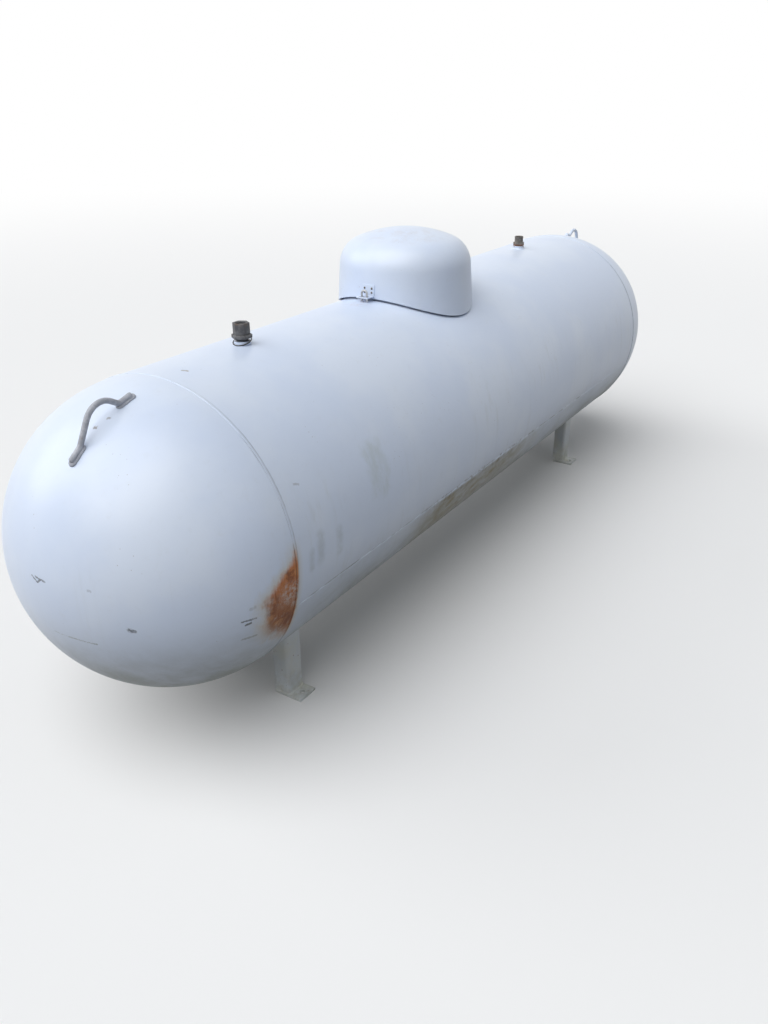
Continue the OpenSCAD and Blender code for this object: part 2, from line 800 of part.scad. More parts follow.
module service_handwheel() {
    rim_r = (wheel_d - wheel_rim_d) / 2;
    color(steel_grey) on_shell(service_x)
        translate([0, 0, valve_boss_h + service_h + gland_h + wheel_rise]) {
            rotate_extrude() translate([rim_r, 0]) circle(d = wheel_rim_d, $fn = 32);
            difference() {
                union() {
                    cylinder(d = wheel_hub_d, h = wheel_hub_h, center = true);
                    for (k = [0 : wheel_spokes - 1]) rotate([0, 0, 360 * k / wheel_spokes])
                        translate([wheel_hub_d / 4, -wheel_spoke_w / 2, -wheel_spoke_t / 2])
                            cube([rim_r - wheel_hub_d / 4, wheel_spoke_w, wheel_spoke_t]);
                }
                cylinder(d = stem_d + 2 * pin_play, h = 2 * wheel_hub_h, center = true);
            }
        }
}

barrel();
near_head();
far_head();
near_girth_weld();
far_girth_weld();
barrel_seam_weld();
leg_near_front();
leg_near_back();
leg_far_front();
leg_far_back();
near_lifting_lug();
far_lifting_lug();
near_lug_welds();
far_lug_welds();
relief_boss();
relief_valve_body();
relief_valve_poppet();
relief_wire_ring();
plug_boss();
plug_body();
plug_cap();
dome_collar();
hinge_bracket();
hinge_pin();
hasp_staple();
dome_lid();
lid_hinge_strap();
lid_hasp();
lid_stop();
gauge_boss();
gauge_head();
gauge_dial();
fill_boss();
fill_valve();
fill_cap();
service_boss();
service_valve();
service_handwheel();
vapour_boss();
vapour_valve();
vapour_cap();
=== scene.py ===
import bmesh
import bpy
from functools import reduce
from math import acos, asin, atan2, cos, degrees, pi, radians, sin, sqrt, tan
from mathutils import Matrix, Vector


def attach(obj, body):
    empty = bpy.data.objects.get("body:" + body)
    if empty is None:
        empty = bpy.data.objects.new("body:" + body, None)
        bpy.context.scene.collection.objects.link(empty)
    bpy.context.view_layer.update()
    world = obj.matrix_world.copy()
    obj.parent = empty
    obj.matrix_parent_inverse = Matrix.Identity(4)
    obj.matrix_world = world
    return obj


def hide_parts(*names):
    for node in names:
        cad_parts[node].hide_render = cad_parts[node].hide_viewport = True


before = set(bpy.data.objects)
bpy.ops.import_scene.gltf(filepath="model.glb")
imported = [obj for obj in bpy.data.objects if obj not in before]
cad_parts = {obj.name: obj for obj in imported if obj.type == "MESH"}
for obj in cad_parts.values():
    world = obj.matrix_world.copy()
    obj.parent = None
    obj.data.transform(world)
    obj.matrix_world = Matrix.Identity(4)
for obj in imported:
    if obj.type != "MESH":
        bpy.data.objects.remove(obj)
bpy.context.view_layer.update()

# The tank's sizes, in metres, as its solids have them
SHELL_R = 0.381
AXIS_H = 0.53
TANGENT_X = 1.1305
SHELL_T = 0.005
HEAD_T = 0.0045
WELD_W = 0.008
WELD_H = 0.0015
CROWN_Z = AXIS_H + SHELL_R
RELIEF_X = -0.832
PLUG_X = 0.777
DOME_X = -0.06
FILL_X = DOME_X - 0.105
SERVICE_X = DOME_X + 0.105
LID_R = 0.209
LID_RISE = 0.184
LID_SHOULDER = 0.086
LID_CROWN = 0.4
LID_T = 0.003
LID_GAP = 0.007
COLLAR_R = 0.194
COLLAR_T = 0.004
LUG_BAR_R = 0.0065
LUG_TOE_L = 0.035
LEG_X = 0.95
LEG_Y = 0.203
MM = 0.001

# Angles round the shell from its crown towards -Y, over a head from its top, and from a lug's middle to a toe
SEAM_DEG = 106.5
VAPOUR_DEG = 15.5
LUG_TOE_DEG = 11.9
LUG_MID_DEG = 29.9
LID_DRAFT = radians(3.7)

# Colours of the paint, of what lies on it or has come through it, and of the light and shade painted on it
# The blue of both paints is partly painted sky light; the enamel itself is white
SKY_TINTED_PAINT = (0.645, 0.73, 0.89)
SKY_TINTED_CHALKED_PAINT = (0.705, 0.78, 0.91)
DUST_GREY = (0.52, 0.55, 0.58)
RAIN_STREAK = (0.4, 0.43, 0.42)
# Grime and moss are partly dirt, partly painted shade and a painted green reflection of grass on the
# underside
GRIME_AND_SHADE = (0.185, 0.19, 0.145)
MOSS_AND_GRASS_REFLECTION = (0.3, 0.33, 0.22)
CLAY = (0.235, 0.2, 0.115)
CLAY_CRUMB = (0.105, 0.085, 0.045)
SEAM_LINE = (0.1, 0.095, 0.085)
RUN_GREEN = (0.2, 0.24, 0.22)
STAIN_GREEN = (0.33, 0.39, 0.33)
WELL_DUST = (0.47, 0.43, 0.35)
COLLAR_DRIFT = (0.26, 0.22, 0.16)
# Painted shade at the weld toes, partly with dirt, and over the girth beads, in the blue of shade
TOE_DIRT_AND_SHADE = (0.2, 0.23, 0.29)
BEAD_SHADE = (0.3, 0.34, 0.42)
LID_DUST = (0.52, 0.46, 0.44)
BLUSH = (0.45, 0.3, 0.2)
SOIL = (0.16, 0.145, 0.09)
LEG_CHALK = (0.76, 0.745, 0.62)
GRIT = (0.17, 0.145, 0.12)
SCUFF = (0.055, 0.06, 0.07)
SPECK_BROWN = (0.2, 0.17, 0.15)
RUST_HALO = (0.53, 0.43, 0.25)
RUST_LIGHT = (0.52, 0.185, 0.062)
RUST_CHALK = (0.64, 0.33, 0.15)
RUST_DEEP = (0.23, 0.1, 0.05)
RUST_DARK = (0.155, 0.055, 0.028)
RUST_SEAM = (0.12, 0.055, 0.032)
RUST_TAN = (0.36, 0.26, 0.17)


# Finishes
FINISHES = {}


class NodeTree:
    """Shading nodes, each added with its settings and inputs in one step."""

    def __init__(self, tree):
        self.nodes, self.links = tree.nodes, tree.links

    def feed(self, socket, value):
        if isinstance(value, bpy.types.NodeSocket):
            self.links.new(value, socket)
        elif value is not None:
            socket.default_value = (*value, 1.0) if socket.type == "RGBA" else value

    def add(self, kind, inputs=(), **settings):
        node = self.nodes.new("ShaderNode" + kind)
        for name, value in settings.items():
            setattr(node, name, value)
        for key, value in dict(inputs).items():
            self.feed(node.inputs[key], value)
        return node

    def number(self, operation, *values, clamp=False):
        return self.add("Math", enumerate(values), operation=operation, use_clamp=clamp).outputs[0]

    def plus(self, value, other):
        return self.number("ADD", value, other)

    def less(self, value, other):
        return self.number("SUBTRACT", value, other)

    def times(self, value, factor):
        return self.number("MULTIPLY", value, factor)

    def graded(self, value, factor, base):
        return self.number("MULTIPLY_ADD", value, factor, base)

    def both(self, *masks):
        return reduce(self.times, masks)

    def either(self, *masks):
        return reduce(lambda mask, other: self.number("MAXIMUM", mask, other), masks)

    def seen(self):
        """1 for the rays that show the background, 0 for the rays that light the tank."""
        rays = self.add("LightPath").outputs
        return self.either(*(rays[f"Is {kind} Ray"] for kind in ("Camera", "Glossy", "Transmission")))

    def blend_shaders(self, share, first, second, out):
        mix = self.add("MixShader", {0: share, 1: first, 2: second})
        self.links.new(mix.outputs[0], self.nodes[out].inputs["Surface"])


class Finish(NodeTree):
    """A painted, forged or moulded finish, patterned in the tank's own frame."""

    def __init__(self, name):
        self.name = name
        self.material = bpy.data.materials.new(name)
        self.material.use_nodes = True
        super().__init__(self.material.node_tree)
        self.shader = self.nodes["Principled BSDF"]
        self.place = self.add("TexCoord").outputs["Object"]
        self.x, self.y, self.z = self.add("SeparateXYZ", {0: self.place}).outputs

    def vector(self, operation, first, second=None, scale=None):
        node = self.add("VectorMath", {0: first, 1: second, 3: scale}, operation=operation)
        return node.outputs["Value" if operation in ("DOT_PRODUCT", "LENGTH") else "Vector"]

    def noise(self, scale, detail=2, rough=0.5, stretch=None, colour=False):
        where = self.place
        if stretch:
            where = self.add("Mapping", {"Vector": where, "Scale": stretch}).outputs["Vector"]
        spots = self.add("TexNoise", {"Vector": where, "Scale": scale, "Detail": detail, "Roughness": rough})
        return spots.outputs["Color" if colour else "Fac"]

    def rise(self, value, low, high, top=1.0):
        """0 below low, top above high, smooth between; low may lie above high."""
        start, end = 0.0, top
        if low > high:
            low, high, start, end = high, low, top, 0.0
        inputs = {"Value": value, "From Min": low, "From Max": high, "To Min": start, "To Max": end}
        return self.add("MapRange", inputs, interpolation_type="SMOOTHSTEP").outputs["Result"]

    def band(self, value, start, full, fading, end, top=1.0):
        return self.both(self.rise(value, start, full, top), self.rise(value, end, fading))

    def near(self, value, middle, full, end, top=1.0):
        """A band that is full within full of the middle and gone beyond end."""
        return self.band(value, middle - end, middle - full, middle + full, middle + end, top)

    def tint(self, amount, base, over):
        # A colour mix has its colours at inputs 6 and 7 and its result at output 2
        return self.add("Mix", {0: amount, 6: base, 7: over}, data_type="RGBA").outputs[2]

    def stroke(self, start, end, half_width, soft, wander, wander_scale=60.0):
        """A wandering mark along the line from start to end, 1 on it and 0 off it."""
        start, end = Vector(start), Vector(end)
        along = end - start
        drift = self.vector("SUBTRACT", self.noise(wander_scale, 2, 0.6, colour=True), (0.5, 0.5, 0.5))
        where = self.vector("ADD", self.place, self.vector("SCALE", drift, scale=wander))
        offset = self.vector("SUBTRACT", where, tuple(start))
        dot = self.vector("DOT_PRODUCT", offset, tuple(along))
        share = self.number("MULTIPLY", dot, 1 / along.length_squared, clamp=True)
        nearest = self.vector("SCALE", tuple(along), scale=share)
        gap = self.vector("LENGTH", self.vector("SUBTRACT", offset, nearest))
        return self.rise(gap, half_width + soft, half_width)

    def bump(self, height, distance, strength, under=None):
        inputs = {"Height": height, "Distance": distance, "Strength": strength, "Normal": under}
        return self.add("Bump", inputs).outputs["Normal"]

    def done(self, colour, roughness, normal=None, metallic=0.0):
        looks = {"Base Color": colour, "Roughness": roughness, "Metallic": metallic, "Normal": normal}
        for name, value in looks.items():
            self.feed(self.shader.inputs[name], value)
        FINISHES[self.name] = self.material


class Enamel(Finish):
    """The tank's white enamel, tinted blue with painted sky light, chalked in places and streaked by rain."""

    def __init__(self, name, streaky_side):
        super().__init__(name)
        self.mottle = self.noise(3.1, 4, 0.55)
        self.fine = self.noise(46, 3, 0.6)
        self.height = self.less(self.z, AXIS_H)
        self.down = self.times(self.height, -1 / SHELL_R)
        self.dirt_and_shade = self.times(self.rise(self.fine, 0.2, 0.8), 0.03)
        self.rusted = None
        # The base colour, whose blue is partly painted sky light
        self.colour = self.tint(self.rise(self.mottle, 0.38, 0.66), SKY_TINTED_PAINT, SKY_TINTED_CHALKED_PAINT)
        # A little grey dust in the paint's low places
        self.lay(DUST_GREY, self.rise(self.fine, 0.56, 0.8, 0.1))
        # Rain streaks down the flanks: fine along the tank, long down its sides
        streaks = self.rise(self.noise(1, 5, 0.62, (34, 34, 1.7)), 0.52, 0.8)
        flank = self.band(self.down, -0.68, -0.1, 0.42, 0.8)
        self.lay(RAIN_STREAK, streaks, flank, self.rise(self.mottle, 0.3, 0.62, streaky_side))

    def lay(self, over, *masks):
        self.colour = self.tint(self.both(*masks), self.colour, over)


# The layers over the enamel, each laid on the finish f
def lay_underside_grime_and_shade(f):
    """Grime and painted shade on the underside, darker towards the bottom, with moss green at the very bottom
    that is partly a painted reflection of grass.
    """
    patchy = f.rise(f.noise(1, 6, 0.68, (5, 11, 11)), 0.28, 0.72)
    f.dirt_and_shade = f.both(f.rise(f.down, 0.05, 0.83), f.graded(patchy, 0.4, 0.56))
    # Painted shade together with grime, darker towards the bottom
    f.lay(GRIME_AND_SHADE, f.dirt_and_shade)
    # Moss, partly a painted green reflection of grass
    f.lay(MOSS_AND_GRASS_REFLECTION, f.rise(f.down, 0.35, 0.9, 0.22), f.rise(f.noise(4, 5, 0.7), 0.48, 0.72))


def splash_clay(f):
    """Clay-coloured splash below the lengthwise weld, whose upper toe lies at 1.848 radians."""
    angle = f.number("ARCTAN2", f.times(f.y, -1.0), f.height)
    patch = f.band(f.x, -0.66, -0.4, -0.08, 0.35, 0.92)
    ragged = f.graded(f.rise(f.noise(1, 6, 0.66, (13, 24, 24)), 0.3, 0.66), 0.55, 0.4)
    clay = f.both(f.band(angle, 1.848, 1.9, 2.05, 2.5), f.plus(patch, 0.08), ragged)
    f.lay(CLAY, clay)
    f.dirt_and_shade = f.either(f.dirt_and_shade, clay)
    # The dark line that dirt draws along the upper edge of that weld
    edge = f.band(angle, 1.8435, 1.8472, 1.8495, 1.853, 0.8)
    f.lay(SEAM_LINE, edge, f.rise(f.noise(1, 3, 0.7, (5.5, 2, 2)), 0.44, 0.6))
    crumbs = f.rise(f.noise(44, 7, 0.74), 0.47, 0.66, 0.8)
    f.lay(CLAY_CRUMB, f.band(angle, 1.82, 1.846, 1.865, 1.93), patch, crumbs)


def run_green(f):
    """Grey-green runs below the near seam, and a stain beside them."""
    runs = (
        ((-1.04, -0.379, 0.57), (-1.043, -0.38, 0.514), 0.003, 0.02),
        ((-0.968, -0.38, 0.556), (-0.969, -0.379, 0.502), 0.002, 0.018),
        ((-1.076, -0.381, 0.545), (-1.077, -0.379, 0.505), 0.002, 0.014),
    )
    wet = f.either(*(f.stroke(*run, 0.006) for run in runs))
    f.lay(RUN_GREEN, wet, f.rise(f.fine, 0.1, 0.65, 0.26))
    stain = f.stroke((-0.782, -0.352, 0.672), (-0.78, -0.375, 0.6), 0.018, 0.036, 0.045, 26.0)
    f.lay(STAIN_GREEN, stain, f.rise(f.noise(1, 5, 0.7, (30, 30, 12)), 0.22, 0.66, 0.3))


def settle_dust(f):
    """Dust within the collar under the lid, and a darker drift along the collar."""
    from_dome = f.vector("SUBTRACT", f.place, (DOME_X, 0.0, 0.0))
    away = f.vector("LENGTH", f.vector("MULTIPLY", from_dome, (1.0, 1.0, 0.0)))
    upper = f.rise(f.height, 0.2, 0.3)
    settled = f.rise(f.noise(15, 6, 0.68), 0.34, 0.66)
    dusty = f.both(f.rise(away, COLLAR_R - 0.002, COLLAR_R - 0.008, 0.34), upper, settled)
    f.lay(WELL_DUST, dusty)
    drifted = f.rise(f.noise(34, 6, 0.7), 0.36, 0.62, 0.5)
    drift = f.both(f.band(away, 0.15, 0.185, 0.19, 0.214), upper, drifted)
    f.lay(COLLAR_DRIFT, drift)
    f.dirt_and_shade = f.either(f.dirt_and_shade, dusty, drift)


def line_girth_welds(f):
    """Dirt and painted shade where the girth welds meet the plate, and painted shade that dulls the bead
    between.
    """
    inner_toe, outer_toe = TANGENT_X - WELD_W / 2, TANGENT_X + WELD_W / 2
    for side in (-1, 1):
        for toe, wide, share in ((inner_toe, 0.0022, 0.62), (outer_toe, 0.0012, 0.3)):
            broken_toe_line = f.rise(f.noise(1, 4, 0.7, (2, 13, 13)), 0.3, 0.58)
            line = f.near(f.x, side * toe, wide / 3, wide, share)
            # Dirt at each toe, partly painted shade of the groove there
            f.lay(TOE_DIRT_AND_SHADE, line, broken_toe_line, f.rise(f.down, -1.0, -0.7))
    bead = f.near(f.number("ABSOLUTE", f.x), TANGENT_X, 0.003, 0.0056)
    # Painted shade over the girth beads, which dims their highlight
    f.lay(BEAD_SHADE, bead, f.rise(f.down, -1.0, -0.6, 0.26))


def bleed_rust(f):
    """Rust that bleeds from the near seam and runs down the head."""
    away = f.times(f.plus(f.x, TANGENT_X + 0.001), -1.0)
    drop = f.times(f.less(f.z, 0.572), -1.0)
    ragged = f.less(f.noise(30, 7, 0.66), 0.5)
    feathered = f.less(f.noise(1, 6, 0.64, (64, 64, 15)), 0.5)
    edge_play = f.plus(f.times(ragged, 0.055), f.times(feathered, 0.045))
    reach = f.plus(f.graded(f.rise(drop, -0.015, 0.085), 0.092, 0.006), edge_play)
    within = f.less(reach, away)
    tilted = f.plus(f.graded(away, 0.6, drop), f.times(edge_play, 1.2))
    near_side = f.rise(f.y, -0.2, -0.26)
    body = f.both(
        f.rise(within, -0.006, 0.03),
        f.rise(away, -0.006, 0.001),
        f.rise(f.plus(drop, edge_play), -0.014, 0.034),
        f.rise(tilted, 0.256, 0.192),
        near_side,
    )
    halo = f.both(
        f.rise(within, -0.042, 0.014),
        f.rise(away, -0.026, 0.003),
        f.rise(drop, -0.045, 0.025),
        f.rise(tilted, 0.275, 0.2),
        near_side,
    )
    f.lay(RUST_HALO, halo, 0.5)
    # A chalky heart where some paint is left between the blotches
    heart = f.both(f.rise(drop, 0.055, 0.085), f.rise(drop, 0.135, 0.1), f.rise(away, 0.075, 0.03))
    chalky = f.both(heart, f.rise(f.noise(150, 3, 0.7), 0.62, 0.35, 0.9))
    blotched = f.rise(f.plus(ragged, feathered), -0.33, -0.06)
    f.rusted = f.both(body, f.graded(f.less(blotched, chalky), 0.6, 0.38))
    shade = f.tint(f.rise(drop, 0.03, 0.16, 0.8), RUST_LIGHT, RUST_DEEP)
    shade = f.tint(f.rise(feathered, 0.02, 0.22, 0.6), shade, RUST_DARK)
    shade = f.tint(f.rise(ragged, 0.02, 0.16, 0.55), shade, RUST_CHALK)
    shade = f.tint(f.rise(f.noise(17, 6, 0.68), 0.48, 0.6, 0.75), shade, RUST_DARK)
    f.lay(shade, f.rusted)
    # The bare dark line along the seam within the rust
    seam = f.band(f.x, *(-TANGENT_X - step for step in (0.0062, 0.005, 0.0035, 0.0022)))
    bare = f.both(seam, f.rise(drop, -0.03, 0.0), f.rise(drop, 0.21, 0.17), near_side)
    f.lay(RUST_SEAM, bare, 0.6)


def scuff(f, marks):
    for start, end, half_width, amount, shade in marks:
        soft = min(half_width * 1.2, 0.005)
        mark = f.stroke(start, end, half_width, soft, soft * 3.2, 190.0)
        f.lay(shade, mark, f.rise(f.fine, 0.18, 0.55, amount))


def blush_lid(f, shoulder_too):
    """Dust along the lid's shoulder, and a faint rusty blush below the hasp."""
    if shoulder_too:
        shoulder = f.band(f.z, 1.06, 1.078, 1.09, 1.0955, 0.22)
        f.lay(LID_DUST, shoulder, f.rise(f.noise(22, 5, 0.7), 0.42, 0.68))
    blush = f.stroke((-0.276, 0.004, 0.906), (-0.33, 0.0, 0.905), 0.006, 0.03, 0.02, 40.0)
    f.lay(BLUSH, blush, f.rise(f.fine, 0.35, 0.7, 0.3))


def wear_leg(f):
    """Soil splashed up a leg, its yellowed chalk and its rusty chips."""
    splashed = f.both(f.rise(f.z, 0.13, 0), f.rise(f.noise(24, 6, 0.7), 0.34, 0.72, 0.7))
    f.lay(SOIL, splashed)
    f.lay(LEG_CHALK, f.graded(f.rise(f.noise(11, 5, 0.66), 0.36, 0.72), 0.3, 0.42))
    f.lay(RUST_DEEP, f.rise(f.noise(70, 4, 0.62), 0.665, 0.705, 0.75))
    f.dirt_and_shade = f.either(f.dirt_and_shade, splashed)


def dry(f):
    """Specks of grit, then the coat's gloss, its waves and its orange-peel skin."""
    dots = f.add("TexVoronoi", {"Vector": f.place, "Scale": 64}).outputs["Distance"]
    f.lay(GRIT, f.rise(dots, 0.085, 0.045), f.rise(f.noise(7, 2), 0.56, 0.66, 0.55))
    # The dirt mask that roughens the coat also holds the underside's painted shade
    rough = f.plus(f.graded(f.mottle, 0.16, 0.25), f.times(f.dirt_and_shade, 0.32))
    waves = f.bump(f.noise(2.3, 2, 0.45), 0.01, 0.16)
    peel = f.bump(f.noise(420, 2, 0.5), 0.0004, 0.16, waves)
    normal = f.bump(f.dirt_and_shade, 0.0004, 0.5, peel)
    if f.rusted is not None:
        rough = f.either(rough, f.times(f.rusted, 0.88))
        normal = f.bump(f.both(f.rusted, f.noise(260, 4, 0.7)), 0.0016, 0.8, normal)
    f.done(f.colour, rough, normal)


def tank_paint(name, marks=(), rust=False, side_dirt=False, lid_dirt=False, legs=False, streaky_side=0.3):
    """White enamel, tinted blue with painted sky light, with the grime, marks and rust of a tank that stood
    outdoors, and painted shade on its underside and girth welds.
    """
    f = Enamel(name, streaky_side)
    if not legs:
        lay_underside_grime_and_shade(f)
    if side_dirt:
        splash_clay(f)
        run_green(f)
        settle_dust(f)
    line_girth_welds(f)
    if rust:
        bleed_rust(f)
    scuff(f, marks)
    blush_lid(f, lid_dirt)
    if legs:
        wear_leg(f)
    dry(f)


def weathered_metal(name, base, worn, stain, stain_share, metallic, rough, pits=0.5, rust_below=None):
    """Bare or painted metal gone dull: worn places, stains and a pitted skin."""
    f = Finish(name)
    cloud = f.noise(38, 5, 0.62)
    grit = f.noise(320, 4, 0.68)
    colour = f.tint(f.rise(cloud, 0.42, 0.66), base, worn)
    colour = f.tint(f.rise(grit, 0.52, 0.76, 0.5), colour, tuple(c * 0.45 for c in base))
    spread = f.rise(f.noise(24, 6, 0.7), 0.62 - 0.2 * stain_share, 0.8 - 0.2 * stain_share)
    stained = f.both(spread, f.rise(grit, 0.22, 0.52))
    if rust_below:
        foot = f.rise(f.z, rust_below + 0.004, rust_below - 0.005)
        stained = f.either(stained, f.both(foot, f.rise(grit, 0.25, 0.5)))
    colour = f.tint(f.times(stained, 0.85), colour, stain)
    uneven = f.either(f.graded(cloud, 0.22, rough - 0.11), f.times(stained, 0.85))
    normal = f.bump(cloud, 0.0015, 0.35, f.bump(grit, 0.0006, pits))
    f.done(colour, uneven, normal, metallic)


def moulded_plastic(name, base, dust, rough):
    """Moulded plastic with a fine grain, dusty on its upper faces."""
    f = Finish(name)
    grain = f.noise(900, 2, 0.5)
    cloud = f.noise(30, 4, 0.6)
    up = f.add("SeparateXYZ", {0: f.add("NewGeometry").outputs["Normal"]}).outputs[2]
    settled = f.both(f.rise(up, 0.2, 0.9), f.rise(cloud, 0.35, 0.7, 0.35))
    f.done(f.tint(settled, base, dust), f.graded(cloud, 0.2, rough - 0.1), f.bump(grain, 0.0003, 0.3))


# The scuffs on the near head, each from one end to the other, with half its width, its strength and colour
HEAD_MARKS = [
    ((-1.507, 0.023, 0.576), (-1.509, 0.006, 0.565), 0.0011, 0.85, SCUFF),
    ((-1.508, 0.010, 0.576), (-1.507, -0.018, 0.572), 0.0016, 0.75, SCUFF),
    ((-1.509, 0.004, 0.566), (-1.508, -0.004, 0.572), 0.0016, 0.75, SCUFF),
    ((-1.486, -0.126, 0.575), (-1.485, -0.131, 0.575), 0.0020, 0.30, SCUFF),
    ((-1.455, -0.192, 0.486), (-1.449, -0.203, 0.482), 0.0024, 0.85, SCUFF),
    ((-1.456, -0.190, 0.492), (-1.452, -0.197, 0.490), 0.0014, 0.40, SCUFF),
    ((-1.500, -0.005, 0.443), (-1.495, -0.063, 0.441), 0.0014, 0.50, RUN_GREEN),
    ((-1.495, -0.063, 0.441), (-1.481, -0.115, 0.437), 0.0014, 0.60, (0.16, 0.19, 0.18)),
    ((-1.280, -0.343, 0.460), (-1.248, -0.354, 0.457), 0.0016, 0.85, SCUFF),
    ((-1.270, -0.344, 0.447), (-1.260, -0.348, 0.449), 0.0022, 0.90, SCUFF),
    ((-1.272, -0.331, 0.406), (-1.239, -0.342, 0.403), 0.0018, 0.45, (0.14, 0.15, 0.12)),
    ((-1.262, -0.355, 0.486), (-1.252, -0.358, 0.488), 0.0026, 0.32, (0.20, 0.21, 0.19)),
    ((-1.328, -0.024, 0.855), (-1.327, -0.027, 0.855), 0.0024, 0.75, SPECK_BROWN),
    ((-1.300, -0.036, 0.869), (-1.299, -0.039, 0.869), 0.0022, 0.60, SPECK_BROWN),
]
BARREL_MARKS = [
    ((-1.068, -0.028, 0.910), (-1.063, -0.039, 0.909), 0.0022, 0.65, (0.24, 0.19, 0.15)),
    ((-1.076, -0.338, 0.704), (-1.062, -0.341, 0.699), 0.0016, 0.45, (0.25, 0.26, 0.28)),
]

# Rust that bleeds out round the screwed fittings onto their bosses; the valves' bosses end just above WELL_Z
WELL_Z = CROWN_Z + 0.0135
VAPOUR_Z, GAUGE_Z = WELL_Z - 0.014, WELL_Z + 0.0055
BOSS_MARKS = [
    ((FILL_X, -0.003, WELL_Z), (FILL_X, 0.003, WELL_Z), 0.0235, 0.50, RUST_TAN),
    ((SERVICE_X, -0.003, WELL_Z), (SERVICE_X, 0.003, WELL_Z), 0.0225, 0.65, (0.30, 0.17, 0.09)),
    ((DOME_X, -0.108, VAPOUR_Z), (DOME_X, -0.102, VAPOUR_Z), 0.0225, 0.50, RUST_TAN),
    ((DOME_X - 0.003, 0.0, GAUGE_Z), (DOME_X + 0.003, 0.0, GAUGE_Z), 0.0400, 0.45, (0.38, 0.29, 0.20)),
    ((PLUG_X, -0.004, 0.920), (PLUG_X, 0.004, 0.920), 0.0150, 0.75, RUST_DEEP),
    ((RELIEF_X, -0.003, 0.9205), (RELIEF_X, 0.003, 0.9205), 0.0140, 0.40, (0.30, 0.22, 0.16)),
]

tank_paint("barrel_paint", BARREL_MARKS, rust=True, side_dirt=True)
tank_paint("near_head_paint", HEAD_MARKS, rust=True, streaky_side=0.12)
tank_paint("far_head_paint")
tank_paint("lid_paint", lid_dirt=True)
tank_paint("fitting_paint", BOSS_MARKS)
tank_paint("leg_paint", legs=True)

# Each metal's own colour, where it is worn, its stain, the stain's share, metallic and roughness
METALS = {
    "grey_lug": ((0.365, 0.38, 0.43), (0.5, 0.515, 0.57), (0.27, 0.22, 0.19), 0.15, 0.0, 0.55),
    "valve_black": ((0.075, 0.075, 0.08), (0.17, 0.17, 0.175), (0.12, 0.075, 0.045), 0.45, 0.25, 0.58),
    "poppet_grey": ((0.15, 0.15, 0.15), (0.27, 0.27, 0.265), (0.13, 0.11, 0.09), 0.4, 0.3, 0.6),
    "plug_brown": ((0.125, 0.112, 0.1), (0.22, 0.205, 0.19), (0.22, 0.085, 0.04), 0.45, 0.15, 0.68,
                   0.5, CROWN_Z + 0.017),
    "zinc_steel": ((0.36, 0.365, 0.37), (0.52, 0.525, 0.53), (0.26, 0.13, 0.07), 0.3, 0.85, 0.42),
    "rivet_steel": ((0.1, 0.095, 0.09), (0.19, 0.18, 0.17), (0.17, 0.075, 0.04), 0.55, 0.5, 0.55),
    "black_wire": ((0.03, 0.03, 0.032), (0.07, 0.068, 0.066), (0.1, 0.05, 0.03), 0.4, 0.0, 0.5),
    "valve_brass": ((0.5, 0.36, 0.155), (0.62, 0.47, 0.22), (0.16, 0.14, 0.09), 0.5, 0.9, 0.36, 0.25),
}
for name, looks in METALS.items():
    weathered_metal(name, *looks)
moulded_plastic("cap_plastic", (0.022, 0.022, 0.024), (0.2, 0.19, 0.17), 0.52)
moulded_plastic("dial_white", (0.78, 0.78, 0.74), (0.6, 0.57, 0.5), 0.38)
moulded_plastic("pointer_red", (0.5, 0.035, 0.025), (0.45, 0.2, 0.15), 0.42)


# Tools
def put_in_scene(name, data):
    thing = bpy.data.objects.new(name, data)
    bpy.context.scene.collection.objects.link(thing)
    return thing


def hand_over(bm, name, finish, node=None, body="tank", sharp_deg=32.0, wall=0.0):
    """Makes a piece of the shape, which rides on its body and stands for its solid."""
    bmesh.ops.recalc_face_normals(bm, faces=bm.faces)
    if wall:
        bmesh.ops.solidify(bm, geom=bm.faces[:], thickness=wall)
    mesh = bpy.data.meshes.new(name)
    bm.to_mesh(mesh)
    bm.free()
    mesh.shade_smooth()
    mesh.set_sharp_from_angle(angle=radians(sharp_deg))
    mesh.materials.append(FINISHES[finish])
    piece = put_in_scene(name, mesh)
    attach(piece, body)
    if node:
        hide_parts(node)


def at(x, y, z):
    return Matrix.Translation((x, y, z))


def tilt(deg, axis):
    return Matrix.Rotation(radians(deg), 4, axis)


def on_shell(x, deg=0.0):
    """The place on the shell at x, turned from the crown to -Y, with Z straight out of it."""
    return at(x, 0, AXIS_H) @ tilt(deg, "X") @ at(0, 0, SHELL_R)


def around(count):
    """Evenly spaced angles over one full turn."""
    return [2 * pi * k / count for k in range(count)]


def circle(place, radius, count):
    return [place @ Vector((radius * cos(a), radius * sin(a), 0)) for a in around(count)]


def arc(centre_r, centre_z, radius, start_deg, end_deg, count):
    """Points (r, z) on an arc, for a turned profile."""
    turns = [radians(start_deg + (end_deg - start_deg) * k / count) for k in range(count + 1)]
    return [(centre_r + radius * cos(t), centre_z + radius * sin(t)) for t in turns]


def join(bm, shape, place=None):
    """Adds a finished shape to the piece, moved to its place."""
    if place is not None:
        bmesh.ops.transform(shape, matrix=place, verts=shape.verts)
    mesh = bpy.data.meshes.new("shape")
    shape.to_mesh(mesh)
    shape.free()
    bm.from_mesh(mesh)
    bpy.data.meshes.remove(mesh)


